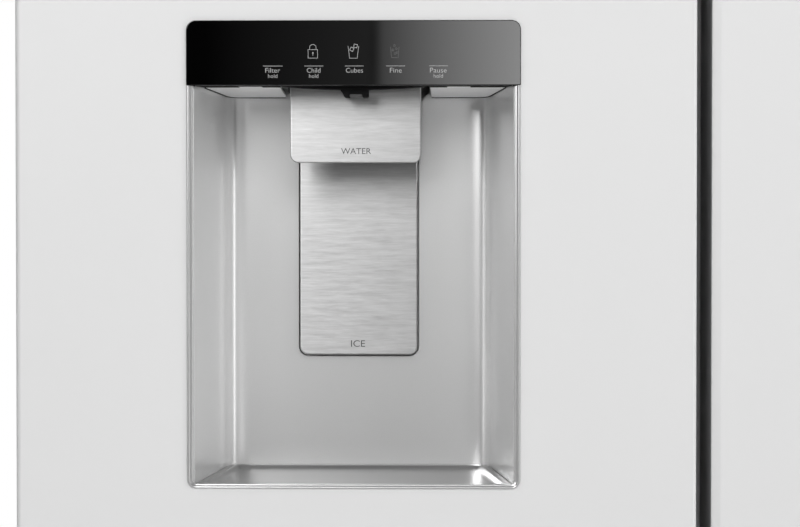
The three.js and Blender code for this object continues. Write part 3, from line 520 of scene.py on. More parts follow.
FZ_LO, FZ_HI = mmbox("freezer_door_skin")
FF_LO, FF_HI = mmbox("fridge_door_skin")
Y0 = FZ_LO[1]  # plane of the doors' fronts
HB_LO, HB_HI = mmbox("dispenser_housing")
CP_LO, CP_HI = mmbox("control_panel")
XD = (CP_LO[0] + CP_HI[0]) / 2
BEZ_Z0, BEZ_Z1 = 925.0, CP_HI[2]
WELL_TOP = CP_LO[2] - 0.2
IP_LO, IP_HI = mmbox("ice_paddle")
WP_LO, WP_HI = mmbox("water_paddle")


def D(d):
    return Y0 + d


# ------------------------------------------------------------------ door skins
def door_outline(x0, x1, r0, r1, y_back, n=10):
    if r0 < 5:
        return rrect(x0, x1, Y0, y_back, [r0, r1, 0, 0], n)
    # an edge with a broad shallow chamfer, softened at both ends
    edge = [(x0, Y0 + 3.0), (x0 + 0.06, Y0 + 2.5), (x0 + 0.28, Y0 + 2.12), (x0 + 0.7, Y0 + 1.86), (x0 + 4.4, Y0 + 0.42), (x0 + 5.2, Y0 + 0.16), (x0 + 6.1, Y0 + 0.03), (x0 + 7.0, Y0)]
    return edge + rrect(x0, x1, Y0, y_back, [0, r1, 0, 0], n)[1:]


def door_skin(name, lo, hi, r_left, r_right, inner_side, body, node, hole=None):
    t = 2.0
    o = extrude(name, door_outline(lo[0], hi[0], r_left, r_right, hi[1]), "z", lo[2], hi[2], [M["door"], M["trim"]], 25)
    ri, ro = max(r_left - t, 0.3), max(r_right - t, 0.3)
    hollow = extrude("c1", rrect(lo[0] + t, hi[0] - t, Y0 + t, hi[1] + 5, [ri, ro, 0, 0], 6), "z", lo[2] + t, hi[2] - t, M["door"])
    cuts = [hollow]
    edge = hi[0] if inner_side > 0 else lo[0]
    # finger opening: a long notch with rounded ends in the front skin's inner edge
    a, b = sorted((edge - inner_side * 20, edge + inner_side * 6))
    rr = [17, 0, 0, 17] if inner_side > 0 else [0, 17, 17, 0]
    cuts.append(extrude("c2", rrect(a, b, 520, 850, rr, 12), "y", Y0 - 3, Y0 + 5, M["door"]))
    cuts.append(cuboid("c3", *sorted((edge - inner_side * 5, edge + inner_side * 6)), Y0 - 3, Y0 + 52, 520, 850, M["door"]))
    hx = -435 if inner_side > 0 else 435
    for z0, z1 in ((lo[2] - 2, lo[2] + 6), (hi[2] - 6, hi[2] + 2)):
        cuts.append(lathe("c4", [(5.6, z0), (5.6, z1)], "z", (hx, -378, 0), M["door"], 24))
    if hole:
        cuts.append(hole)
    carve(o, *cuts)
    # painted shade: the inner side face, full height behind the rounded front edge, takes a mid grey darker than the
    # door paint, so the narrow gap between the doors reads dark
    r_in = r_right if inner_side > 0 else r_left
    for p in o.data.polygons:
        c = p.center
        near = abs(c.x / MM - edge) < 2.5
        if near and p.normal.x * inner_side > 0.8 and c.y / MM > Y0 + min(r_in, 2.6) - 0.2:
            p.material_index = 1
    bevel(o, 0.35, 2)
    return piece(o, body, "door_paint", node)


hole = extrude("hole", rrect(XD - 95.8, XD + 95.8, BEZ_Z0 + 1, BEZ_Z1 - 1, 4.4, 8), "y", Y0 - 3, Y0 + 2.6, M["door"])
door_skin("freezer_door_panel", FZ_LO, FZ_HI, 3.6, 2.2, 1, "freezer_door", "freezer_door_skin", hole)
door_skin("fridge_door_panel", FF_LO, FF_HI, 5.8, 3.6, -1, "fridge_door", "fridge_door_skin")


# ------------------------------------------------------------------ dispenser housing
def well_side(y):
    """Half-width of the well at a depth, before the rear corners."""
    return 93.9 - 11.8 * ((y - Y0) / 63.0)


def well_plan(y0, grow=0.0, n=18):
    """Half of the plan outline, from the front at the right to the rear centre."""
    back = Y0 + 80 + grow
    ys = Y0 + 57
    xs = well_side(ys) + grow
    ex = 64.0 + grow
    pts = [(well_side(y0) + grow, y0)]
    for k in range(1, 8):
        y = y0 + (ys - y0) * k / 8
        pts.append((well_side(y) + grow, y))
    # corner: a cubic with handles along the side wall and along the rear wall
    p0 = Vector((xs, ys))
    slope = Vector((-11.8 / 63.0, 1.0)).normalized()
    p3 = Vector((ex, back))
    p1 = p0 + slope * 20
    p2 = p3 + Vector((17.0, 0))
    for k in range(n + 1):
        t = k / n
        q = p0 * (1 - t) ** 3 + p1 * (3 * t * (1 - t) ** 2) + p2 * (3 * t * t * (1 - t)) + p3 * t ** 3
        pts.append((q.x, q.y))
    return pts


half = well_plan(D(2.4))
plan = [(XD + x, y) for x, y in half] + [(XD - x, y) for x, y in reversed(half)]

SLOT_HW, SLOT_TOP_HW, SLOT_Z0 = 36.7, 43.2, 998.1


def housing():
    parts = []
    # moulded body: the well, the opening for the ice paddle and the paddles' pocket cut from one block
    body = cuboid("moulding", XD - 97.6, XD + 97.6, D(2.6), D(92.9), 908.3, 1197.8, M["silver"])
    front = [(XD + well_side(D(-2)), D(-2))]
    mirror = [(XD - well_side(D(-2)), D(-2))]
    well = extrude("c1", front + plan + mirror, "z", 905.0, WELL_TOP + 2.5, M["silver"])
    s = rrect(XD - SLOT_HW, XD + SLOT_HW, SLOT_Z0, SLOT_Z0 + 40, [5.7, 5.7, 0, 0], 12)
    s = s[:-2] + [(XD + SLOT_HW, 1152.3), (XD + SLOT_TOP_HW, 1159.6), (XD + SLOT_TOP_HW, 1192), (XD - SLOT_TOP_HW, 1192), (XD - SLOT_TOP_HW, 1159.6), (XD - SLOT_HW, 1152.3)]
    slot = extrude("c2", s, "y", D(77), D(91.3), M["silver"])
    pocket = cuboid("c3", XD - 46.5, XD + 46.5, D(6), D(79.2), WELL_TOP + 1.0, 1192.5, M["silver"])
    mouth = cuboid("c4", XD - 34.6, XD + 34.6, D(30), D(95), 1188, 1200, M["silver"])
    seat = cuboid("c5", XD - 99, XD + 99, D(0), D(5.6), WELL_TOP - 0.2, 1193.6, M["silver"])
    carve(body, well, slot, pocket, mouth, seat)
    # the pocket over the ceiling is dark
    for p in body.data.polygons:
        c = p.center
        if c.z / MM > WELL_TOP + 3 and abs(c.x / MM - XD) < 47.5 and D(5) < c.y / MM < D(79.5):
            p.material_index = 1
    body.data.materials.append(M["black"])
    bevel(body, 0.45, 3, 30)
    bake(body)
    parts.append(body)
    # rim: a soft bead around the front, with a fine step to the well's wall
    prof = [(0.0, 0.9), (0.0, -0.4), (0.12, -0.95), (0.5, -1.35), (1.0, -1.5), (1.5, -1.42), (1.9, -1.1), (2.15, -0.6), (2.3, 0.0), (2.45, 0.35), (2.75, 0.45), (3.2, 0.5), (3.5, 0.75), (3.62, 1.2), (3.66, 3.2)]
    r0 = 5.5
    x0, x1, z0, z1 = XD - 97.5, XD + 97.5, BEZ_Z0, BEZ_Z1
    verts, faces = [], []
    N = 12
    per = 4 * (N + 1)
    for off, dep in prof:
        # the rim's lower run is slimmer than its sides
        zb = z0 + min(off, 3.66) * (2.55 / 3.66)
        r = max(r0 - off, 1.6)
        pts = []
        for cx, cz, sx, sz, a0 in ((x0 + off, zb, 1, 1, 180), (x1 - off, zb, -1, 1, 270), (x1 - off, z1 - off, -1, -1, 0), (x0 + off, z1 - off, 1, -1, 90)):
            for i in range(N + 1):
                a = math.radians(a0 + 90 * i / N)
                pts.append((cx + sx * r + r * math.cos(a), D(dep), cz + sz * r + r * math.sin(a)))
        verts += pts
    for j in range(len(prof) - 1):
        for i in range(per):
            a, b = j * per + i, j * per + (i + 1) % per
            faces.append((a, b, b + per, a + per))
    rim = obj_from("rim", verts, faces, M["rim"], 70)
    # the control panel takes the rim's place above the well
    carve(rim, cuboid("k", XD - 110, XD + 110, D(-6), D(8), WELL_TOP + 0.05, 1215, M["silver"]))
    parts.append(rim)
    # ceiling: silver behind, painted lighter than the walls' silver against the shade it sits in, with two tabs that
    # reach forward into the black underside
    c0, c1 = WELL_TOP - 0.1, WELL_TOP - 3.9
    yb = 80.0
    def ceil_z(d):
        return c0 + (c1 - c0) * max(0.0, (d - 25.0) / (yb - 25.0))
    def plate(nm, outline, mat, thick=1.6, drop=0.0):
        n = len(outline)
        v = [(x, D(d), ceil_z(d) + drop) for x, d in outline] + [(x, D(d), ceil_z(d) + thick + drop) for x, d in outline]
        f = [tuple(range(n)), tuple(range(2 * n - 1, n - 1, -1))] + [(i, (i + 1) % n, n + (i + 1) % n, n + i) for i in range(n)]
        return obj_from(nm, v, f, mat, 30)
    edge = [(x - 0.7, y - Y0) for x, y in well_plan(D(2.4)) if y <= D(80)]
    edge = [(x, min(d, 79.3)) for x, d in edge]
    def x_at(d):
        for (xa, da), (xb, db) in zip(edge, edge[1:]):
            if da <= d <= db:
                return xa + (xb - xa) * (d - da) / max(db - da, 1e-6)
        return edge[-1][0]
    front = 25.0
    tabs = [(-68.0, -54.6), (54.6, 68.0)]
    # two rear halves that leave the middle open for the paddles and the chute
    for s in (-1, 1):
        side = [(x, d) for x, d in edge if d > front]
        outline = [(44.4, front), (54.6, front), (54.6, 12.5), (68.0, 12.5), (68.0, front), (x_at(front), front)] + side + [(44.4, 79.3)]
        outline = [(XD + s * x, d) for x, d in outline]
        parts.append(plate("ceiling", outline, M["ceiling"]))
        # shadow line where the ceiling meets the walls
        path = [(x_at(front), front)] + side + [(44.4, 79.3)]
        v, f = [], []
        for x, d in path:
            for q, h in ((0.0, -0.42), (0.0, 0.3), (-0.5, 0.3), (-0.5, -0.42)):
                v.append((XD + s * (x + 0.6 + q * (1 if d < 60 else 1)), D(min(d + (0.55 if d > 78 else 0.0) + (q if d > 78 else 0.0), 79.9)), ceil_z(d) + h))
        for i in range(len(path) - 1):
            for k in range(4):
                a, b = 4 * i + k, 4 * i + (k + 1) % 4
                f.append((a, b, b + 4, a + 4))
        f += [(0, 1, 2, 3), tuple(range(4 * len(path) - 4, 4 * len(path)))]
        parts.append(obj_from("ceiling_line", v, f, M["matt"], 0))
    for s in (-1, 1):
        outline = [(20.0, 5.0), (x_at(5.0), 5.0), (x_at(front), front), (68.2, front - 0.3), (68.2, 12.2), (54.4, 12.2), (54.4, front - 0.3), (44.0, front - 0.3), (44.0, 9.0), (20.0, 9.0)]
        parts.append(plate("soffit", [(XD + s * x, d) for x, d in outline], M["matt"], 2.0, 0.05))
    parts.append(plate("soffit_mid", [(XD - 20.2, 5.0), (XD + 20.2, 5.0), (XD + 20.2, 9.0), (XD - 20.2, 9.0)], M["matt"], 2.0, 0.05))
    return merge("dispenser_well", parts)


well = housing()
piece(well, "freezer_door", "silver", "dispenser_housing")


# ------------------------------------------------------------------ control panel
def control_panel():
    z0, z1 = CP_LO[2], CP_HI[2]
    front = extrude("front", rrect(XD - 97.5, XD + 97.5, z0, z1, [0.6, 0.6, 5.5, 5.5], 12), "y", D(-1.5), D(-0.3), M["bglass"], 25)
    bevel(front, 0.45, 4, 25)
    bake(front)
    rear = cuboid("rear", XD - 92.6, XD + 92.6, D(-0.4), D(5), z0, z1 - 5.2, M["black"])
    bevel(rear, 0.3, 1)
    bake(rear)
    return merge("control_glass", [front, rear])


piece(control_panel(), "freezer_door", "black_glass", "control_panel")


def fit_text(name, words, x, z, w, h, y, depth, material, thin=0.06):
    """Generic lettering scaled to a width and a height, its middle at (x, z)."""
    o = text_mesh(name, words, 10.0, 0, 0, 0, depth, material, 1.0, thin)
    xs = [v.co.x for v in o.data.vertices]
    zs = [v.co.z for v in o.data.vertices]
    sx = w * MM / (max(xs) - min(xs))
    sz = h * MM / (max(zs) - min(zs))
    cx, cz = (max(xs) + min(xs)) / 2, (max(zs) + min(zs)) / 2
    for v in o.data.vertices:
        v.co.x = x * MM + (v.co.x - cx) * sx
        v.co.z = z * MM + (v.co.z - cz) * sz
        v.co.y += y * MM
    return o


def ribbon(name, pts, width, y, material, depth=0.03, closed=False):
    """A printed line of constant width in the plane that faces -Y."""
    P = [Vector((p[0], 0, p[1])) for p in pts]
    n = len(P)
    lo, hi = [], []
    for i, p in enumerate(P):
        if closed:
            a, b = P[i - 1], P[(i + 1) % n]
            d1, d2 = (p - a).normalized(), (b - p).normalized()
        else:
            d1 = (p - P[max(i - 1, 0)]) if i else (P[1] - p)
            d2 = (P[min(i + 1, n - 1)] - p) if i < n - 1 else (p - P[i - 1])
            d1, d2 = d1.normalized(), d2.normalized()
        n1, n2 = Vector((-d1.z, 0, d1.x)), Vector((-d2.z, 0, d2.x))
        m = (n1 + n2).normalized()
        k = width / 2 / max(0.35, m.dot(n1))
        lo.append(p + m * k)
        hi.append(p - m * k)
    verts = [(v.x, y - depth, v.z) for v in lo + hi] + [(v.x, y + 0.02, v.z) for v in lo + hi]
    faces = []
    for i in range(n if closed else n - 1):
        j = (i + 1) % n
        faces.append((i, j, n + j, n + i))
        for a, b in ((i, j), (n + j, n + i)):
            faces.append((a, b, b + 2 * n, a + 2 * n))
        faces.append((2 * n + j, 2 * n + i, 3 * n + i, 3 * n + j))
    if not closed:
        faces += [(0, n, 3 * n, 2 * n), (2 * n - 1, n - 1, 3 * n - 1, 4 * n - 1)]
    return obj_from(name, verts, faces, material, 0)


def arc(cx, cz, r, a0, a1, n=14):
    return [(cx + r * math.cos(math.radians(a0 + (a1 - a0) * i / n)), cz + r * math.sin(math.radians(a0 + (a1 - a0) * i / n))) for i in range(n + 1)]


YP = D(-1.5)
words = []
for k, (w, x, z, wd, h) in enumerate((
    ("Filter", -305.9, 1168.9, 8.6, 2.75), ("Child", -282.05, 1168.9, 7.9, 2.75), ("Cubes", -258.3, 1168.9, 9.9, 2.75),
    ("Fine", -234.2, 1168.9, 6.9, 2.75), ("Pause", -209.5, 1168.9, 9.7, 2.75),
    ("hold", -305.9, 1165.6, 5.4, 2.2), ("hold", -282.0, 1165.6, 5.4, 2.2), ("hold", -209.5, 1165.6, 5.4, 2.2),
)):
    words.append(fit_text("w%d" % k, w, x, z, wd, h, YP - 0.01, 0.05, M["legend"]))
for k, (a, b) in enumerate(((-311.5, -300.1), (-287.4, -276.4), (-263.8, -253.0), (-239.9, -228.9), (-214.9, -203.9))):
    words.append(ribbon("l%d" % k, [(a, 1171.4), (b, 1171.4)], 0.26, YP, M["legend"]))
# padlock
cx = -282.5
words.append(ribbon("lock_body", [(cx - 2.75, 1176.0), (cx + 2.75, 1176.0), (cx + 2.75, 1180.9), (cx - 2.75, 1180.9)], 0.25, YP, M["legend"], closed=True))
words.append(ribbon("shackle", [(cx - 1.85, 1181.0)] + arc(cx, 1182.1, 1.85, 180, 0) + [(cx + 1.85, 1181.0)], 0.25, YP, M["legend"]))
words.append(ribbon("keyhole", arc(cx, 1178.9, 0.32, 0, 330, 9), 0.34, YP, M["legend"], closed=True))
words.append(ribbon("key_slot", [(cx, 1178.8), (cx, 1177.3)], 0.25, YP, M["legend"]))
# tumbler with two cubes
cx = -258.9
words.append(ribbon("glass", [(cx - 3.1, 1182.9), (cx - 2.2, 1175.9), (cx + 2.2, 1175.9), (cx + 3.1, 1182.9)], 0.25, YP, M["legend"]))


def diamond(cx, cz, r, turn):
    return [(cx + r * math.cos(math.radians(turn + 90 * k)), cz + r * math.sin(math.radians(turn + 90 * k))) for k in range(4)]


words.append(ribbon("cube1", diamond(cx - 0.9, 1181.1, 1.35, 20), 0.3, YP, M["legend"], closed=True))
words.append(ribbon("cube2", diamond(cx + 1.25, 1183.0, 1.35, 35), 0.3, YP, M["legend"], closed=True))
piece(merge("panel_legends", words), "freezer_door", "black_glass")
dim = []
cx = -234.8
dim.append(ribbon("glass2", [(cx - 2.5, 1182.4), (cx - 1.9, 1176.2), (cx + 1.9, 1176.2), (cx + 2.5, 1182.4)], 0.4, YP, M["legend_dim"]))
for k, (dx, z) in enumerate(((-1.1, 1180.6), (0.9, 1181.4), (-0.2, 1183.2), (0.1, 1178.6), (1.3, 1179.2))):
    dim.append(ribbon("chip%d" % k, diamond(cx + dx, z, 0.65, 15 * k), 0.32, YP, M["legend_dim"], closed=True))
piece(merge("crushed_icon", dim), "freezer_door", "black_glass")


# ------------------------------------------------------------------ paddles
def paddle(name, lo, hi, d0, d1, z0, z_top, r, arms, pivot, engraving, body, node):
    plate = extrude("plate", rrect(lo, hi, z0, z_top, [r, r, 1.5, 1.5], 12), "y", D(d0), D(d1), M["brushed"], 25)
    bevel(plate, 0.8, 5, 25)
    bake(plate)
    # a metal face on a dark moulded back
    plate.data.materials.append(M["matt"])
    for p in plate.data.polygons:
        if p.center.y / MM > D(d0) + 1.3:
            p.material_index = 1
    parts = [plate]
    for a, b in arms:
        arm = extrude("arm", [(D(d0) + 0.25, z_top - 2), (D(d1) - 0.2, z_top - 2), (pivot[0] + 1.6, pivot[1]), (pivot[0] - 1.4, pivot[1])], "x", a, b, M["matt"])
        bevel(arm, 0.3, 2)
        bake(arm)
        pin = lathe("pin", [(2.8, a - 6), (2.8, b + 6)] if len(arms) > 1 else [(2.8, a - 7), (2.8, b + 7)], "x", (0, pivot[0], pivot[1]), M["steel"], 24)
        parts += [arm, pin]
    o = merge(name, parts)
    piece(o, body, "brushed", node)
    word, x, z, w, h = engraving
    piece(fit_text(name + "_word", word, x, z, w, h, D(d0) - 0.01, 0.05, M["engraved"], 0.0), body, "brushed")


WHW = (WP_HI[0] - WP_LO[0]) / 2
paddle("water_lever", XD - 38.9, XD + 38.9, 31, 33.4, 1115.5, 1172, 5.0, [(XD - 36, XD - 24), (XD + 24, XD + 36)], (Y0 + 29, 1184), ("WATER", -258.7, 1122.5, 17.8, 3.5), "water_paddle_body", "water_paddle")
paddle("ice_lever", XD - 35.8, XD + 35.8, 76, 78.4, 999, 1150, 5.0, [(XD - 33, XD + 33)], (Y0 + 74, 1184), ("ICE", -259.4, 1005.8, 8.6, 4.0), "ice_paddle_body", "ice_paddle")


# ------------------------------------------------------------------ nozzle carrier and spout
def nozzle():
    # painted shadow: a matt black lip with a curved lower edge hangs in front of the water paddle's top; it is partly
    # the nozzle carrier's edge and partly stands in for the shadow and dark reflection on the paddle
    lip_with_painted_shadow = [(XD - 42 + 84 * i / 24, 1160 - 1.9 * (1 - ((i / 12) - 1) ** 2)) for i in range(25)] + [(XD + 42, 1168), (XD - 42, 1168)]
    a = extrude("lip_with_painted_shadow", lip_with_painted_shadow, "y", D(9), D(22), M["matt"], 20)
    bevel(a, 0.8, 3, 40)
    bake(a)
    b = cuboid("web", XD - 42, XD + 42, D(9), D(14), 1167, 1191, M["matt"])
    bevel(b, 0.6, 2)
    bake(b)
    c = extrude("spout", [(XD - 8.0, 1165), (XD - 8.0, 1157.6), (XD - 6.6, 1156.0), (XD - 6.0, 1154.0), (XD - 5.2, 1153.5), (XD - 3.0, 1153.5), (XD - 2.5, 1155.6), (XD + 4.7, 1155.6), (XD + 5.0, 1153.5), (XD + 7.6, 1153.5), (XD + 8.2, 1154.4), (XD + 8.2, 1165)], "y", D(10), D(25.5), M["matt"], 25)
    bevel(c, 0.45, 3)
    bake(c)
    d = extrude("insert", rrect(XD - 2.7, XD + 4.9, 1154.0, 1156.0, 0.5, 4), "y", D(11.2), D(21.5), M["spout_grey"], 25)
    return merge("water_spout", [a, b, c, d])


piece(nozzle(), "freezer_door", "black_plastic", "water_nozzle")


# ------------------------------------------------------------------ drip tray
def tray():
    half_t = [(x - 0.5, y) for x, y in well_plan(D(3.8))]
    half_t[-1] = (half_t[-1][0], half_t[-1][1] - 0.5)
    half_t = [(x, min(y, D(79.5))) for x, y in half_t]
    base = [(XD + x, y) for x, y in half_t] + [(XD - x, y) for x, y in reversed(half_t)]
    n = len(base)

    def inset(off):
        out = []
        for i in range(n):
            a, p, b = Vector(base[i - 1]), Vector(base[i]), Vector(base[(i + 1) % n])
            d1, d2 = (p - a).normalized(), (b - p).normalized()
            n1, n2 = Vector((-d1.y, d1.x)), Vector((-d2.y, d2.x))
            m = (n1 + n2).normalized()
            k = off / max(0.5, m.dot(n1))
            out.append((p.x + m.x * k, p.y + m.y * k))
        return out

    def top(y):
        return 927.2 + 4.4 * (y - D(3.8)) / 75.7

    rings = [(0.0, None, 912.6), (0.0, -0.5, None), (0.15, -0.15, None), (0.5, 0.0, None), (3.6, 0.0, None), (4.2, -0.12, None), (5.0, -0.7, None), (6.0, -1.5, None), (7.2, -2.0, None), (9.0, -2.2, None), (20.0, -2.25, None)]
    verts, faces = [], []
    for off, dz, fixed in rings:
        for x, y in inset(off):
            verts.append((x, y, fixed if fixed else top(y) + dz))
    for j in range(len(rings) - 1):
        for i in range(n):
            a, b = j * n + i, j * n + (i + 1) % n
            faces.append((a, b, b + n, a + n))
    faces.append(tuple(range(n)))
    faces.append(tuple(range((len(rings) - 1) * n, len(rings) * n)))
    return obj_from("drip_tray_moulding", verts, faces, M["tray"], 50)


piece(tray(), "drip_tray_body", "silver", "drip_tray")
# ------------------------------------------------------------------ the other CAD nodes, dressed
DRESS = {
    "outer_case": ("case", 0.6), "insulation_foam": ("foam", 0.0), "freezer_liner": ("liner", 2.0), "fridge_liner": ("liner", 2.0),
    "back_panel": ("galv", 0.3), "base_frame": ("galv", 0.8), "machine_cover": ("galv", 0.4),
    "condenser_fan_shroud": ("grey", 0.6), "water_valve": ("white", 1.0),
    "evaporator_cover": ("white", 0.6), "air_tower": ("white", 1.0), "ceiling_module": ("white", 1.6),
    "freezer_door_liner": ("liner", 2.0), "fridge_door_liner": ("liner", 2.0), "ice_maker": ("white", 1.0),
    "ice_maker_arm": ("steel", 0.5), "ice_auger": ("alu", 0.4), "ice_chute": ("black", 0.6), "chute_flap": ("grey", 0.4),
    "bottom_hinge_left": ("steel", 0.8), "bottom_hinge_right": ("steel", 0.8), "freezer_grip": ("grip", 1.2), "fridge_grip": ("grip", 1.2),
    "freezer_shelf_upper": ("white", 0.8), "freezer_shelf_lower": ("white", 0.8), "ice_bucket": ("clear", 1.0),
    "dairy_cover": ("clear", 0.8), "top_hinge_left": ("cover", 3.0), "top_hinge_right": ("cover", 3.0),
}
M["grip"] = plastic("grip_grey", (0.30, 0.30, 0.305), 0.5, 900.0, 0.00004, 0.04)
M["cover"] = plastic("hinge_cover", (0.62, 0.62, 0.62), 0.5, 700.0, 0.00005, 0.02)
M["rubber"] = plastic("black_rubber", (0.02, 0.02, 0.02), 0.8, 400.0, 0.00006, 0.15, 0.2)
for node, (mat, width) in DRESS.items():
    dress(node, M[mat], width, 3)


def loft(name, rings, material, smooth=32.0, cap_start=True, cap_end=True):
    """Surface through rings of equal point counts, each given as (points, z)."""
    n = len(rings[0][0])
    verts = [(x, y, z) for pts, z in rings for x, y in pts]
    faces = []
    for j in range(len(rings) - 1):
        for i in range(n):
            a, b = j * n + i, j * n + (i + 1) % n
            faces.append((a, b, b + n, a + n))
    if cap_start:
        faces.append(tuple(range(n)))
    if cap_end:
        faces.append(tuple(range((len(rings) - 1) * n, len(rings) * n)))
    return obj_from(name, verts, faces, material, smooth)


def bin_piece(node, body, material, slot, wall=2.6, r=14.0, taper=4.0, lip=3.0, band=0.0, floor=3.0, rail=False):
    """Open-topped moulded bin with drafted walls, a rolled lip and rounded corners."""
    lo, hi = mmbox(node)
    x0, x1, y0, y1, z0, z1 = lo[0], hi[0], lo[1], hi[1], lo[2], hi[2]

    def ring(d, rr):
        return rrect(x0 + d, x1 - d, y0 + d, y1 - d, max(rr - d * 0.6, 1.5), 8)

    def draft(z):
        return lip + taper * (z1 - z) / (z1 - z0)

    lipz = z1 - 7.0
    rings = [(ring(draft(z0) + 5.0, r), z0), (ring(draft(z0) + 1.6, r), z0 + 1.0), (ring(draft(z0) + 0.3, r), z0 + 3.2), (ring(draft(z0 + 6), r), z0 + 6.5)]
    for k in range(1, 4):
        z = z0 + 6.5 + (lipz - z0 - 6.5) * k / 4
        rings.append((ring(draft(z), r), z))
    rings += [(ring(draft(lipz), r), lipz), (ring(0.4, r), lipz + 0.6), (ring(0.0, r), lipz + 1.4), (ring(0.0, r), z1 - 1.2), (ring(0.4, r), z1 - 0.3), (ring(1.2, r), z1),
              (ring(lip + wall - 1.0, r), z1), (ring(lip + wall - 0.3, r), z1 - 0.4), (ring(lip + wall, r), z1 - 1.3)]
    for k in range(1, 5):
        z = z1 - 1.3 - (z1 - 1.3 - z0 - floor - 4) * k / 4
        rings.append((ring(draft(z) + wall, r), z))
    rings += [(ring(draft(z0) + wall + 1.0, r), z0 + floor + 1.2), (ring(draft(z0) + wall + 4.0, r), z0 + floor)]
    shell = loft("shell", rings, material, 40)
    parts = [shell]
    if band:
        # opaque trim along the front's top edge
        strip = extrude("trim", rrect(x0 + r * 0.8, x1 - r * 0.8, z1 - 6.2 - band, z1 - 7.4, 1.2, 4), "y", y0 + draft(z1 - 10) - 1.3, y0 + draft(z1 - 10) + 0.4, M["alu"], 30)
        bevel(strip, 0.3, 2)
        bake(strip)
        parts.append(strip)
    if rail:
        for k in range(5):
            x = x0 + (x1 - x0) * (k + 1) / 6
            rib = cuboid("rib", x - 0.9, x + 0.9, y0 + 24, y1 - 24, z0 + floor - 0.2, z0 + floor + 1.6, material)
            bevel(rib, 0.5, 2)
            bake(rib)
            parts.append(rib)
    return piece(merge(node + "_moulding", parts), body, slot, node)


bin_piece("crisper_upper", "crisper_upper_body", M["clear"], "clear_plastic", 2.8, 16, 8, 4, 10, rail=True)
bin_piece("crisper_lower", "crisper_lower_body", M["clear"], "clear_plastic", 2.8, 16, 8, 4, 10, rail=True)
bin_piece("freezer_basket", "freezer_basket_body", M["clear"], "clear_plastic", 2.8, 16, 8, 4, 10, rail=True)
for node, body in (("freezer_bin_upper", "freezer_door"), ("freezer_bin_lower", "freezer_door"), ("fridge_bin_middle", "fridge_door"), ("fridge_bin_lower", "fridge_door"), ("dairy_bin", "fridge_door")):
    bin_piece(node, body, M["clear"], "clear_plastic", 2.4, 12, 4, 2, 9)


def glass_shelf(node, body="cabinet", rim=14.0):
    """Glass pane in a moulded white frame with a wider front rail."""
    lo, hi = mmbox(node)
    x0, x1, y0, y1, z0, z1 = lo[0], hi[0], lo[1], hi[1], lo[2], hi[2]
    frame_ = extrude("frame", rrect(x0, x1, y0, y1, 5, 6), "z", z0, z1, M["white"])
    hole_ = extrude("h", rrect(x0 + rim, x1 - rim, y0 + rim + 6, y1 - rim, 5, 6), "z", z0 - 2, z1 + 2, M["white"])
    seat = extrude("s", rrect(x0 + rim - 5, x1 - rim + 5, y0 + rim + 1, y1 - rim + 5, 5, 6), "z", z1 - 4.2, z1 + 2, M["white"])
    carve(frame_, hole_, seat)
    bevel(frame_, 0.9, 3)
    bake(frame_)
    pane = extrude("pane", rrect(x0 + rim - 4.6, x1 - rim + 4.6, y0 + rim + 1.4, y1 - rim + 4.6, 4.6, 6), "z", z1 - 4.1, z1 - 0.3, M["glass"])
    bevel(pane, 0.4, 2)
    bake(pane)
    return piece(merge(node + "_glass", [frame_, pane]), body, "shelf_glass", node)


for node in ("fridge_shelf_upper", "fridge_shelf_lower", "crisper_cover"):
    glass_shelf(node)


def fan(node, body, slot, axis, blades, r_hub):
    """Pressed hub with twisted, swept blades."""
    lo, hi = mmbox(node)
    c = [(a + b) / 2 for a, b in zip(lo, hi)]
    k = "xyz".index(axis)
    depth = hi[k] - lo[k]
    r = max(hi[i] - lo[i] for i in range(3) if i != k) / 2
    parts = [lathe("hub", [(0, -depth / 2), (r_hub - 1.5, -depth / 2), (r_hub, -depth / 2 + 1.5), (r_hub, depth / 2 - 2.5), (r_hub - 2.5, depth / 2), (0, depth / 2)], axis, c, M["grey"], 36)]
    U, V, T = 10, 6, 1.3
    for b in range(blades):
        a0 = 2 * math.pi * b / blades
        verts, faces = [], []
        for side in (0, 1):
            for i in range(U + 1):
                t = i / U
                rad = (r_hub - 1) + (r - r_hub + 1) * t
                sweep = 0.35 * t * t
                span = (2 * math.pi / blades) * (0.62 + 0.12 * t)
                for j in range(V + 1):
                    s = j / V
                    ang = a0 + sweep + span * (s - 0.5)
                    h = (s - 0.5) * (depth - 2.2) * (0.95 - 0.25 * t) + 1.6 * math.sin(math.pi * s) * (1 - 0.4 * t)
                    h += T / 2 * (1 if side else -1)
                    h = max(-depth / 2, min(depth / 2, h))
                    # round the leading and trailing tips
                    q = rad if t < 0.85 else rad - (abs(s - 0.5) * 2) ** 3 * 6 * (t - 0.85) / 0.15
                    u, v = q * math.cos(ang), q * math.sin(ang)
                    p = {"x": (h, u, v), "y": (u, h, v), "z": (u, v, h)}[axis]
                    verts.append(tuple(p[m] + c[m] for m in range(3)))
        n1 = (U + 1) * (V + 1)
        for i in range(U):
            for j in range(V):
                a = i * (V + 1) + j
                faces.append((a, a + 1, a + V + 2, a + V + 1))
                faces.append((n1 + a, n1 + a + V + 1, n1 + a + V + 2, n1 + a + 1))
        edge = [i * (V + 1) for i in range(U + 1)] + [U * (V + 1) + j for j in range(1, V + 1)] + [i * (V + 1) + V for i in range(U - 1, -1, -1)] + [j for j in range(V - 1, 0, -1)]
        for a, b2 in zip(edge, edge[1:] + edge[:1]):
            faces.append((a, b2, n1 + b2, n1 + a))
        parts.append(obj_from("blade", verts, faces, M["grey"], 40))
    return piece(merge(node + "_moulding", parts), body, slot, node)


fan("condenser_fan_blade", "condenser_fan_body", "grey_plastic", "x", 5, 19.0)
fan("evaporator_fan_blade", "evaporator_fan_body", "grey_plastic", "y", 5, 14.0)


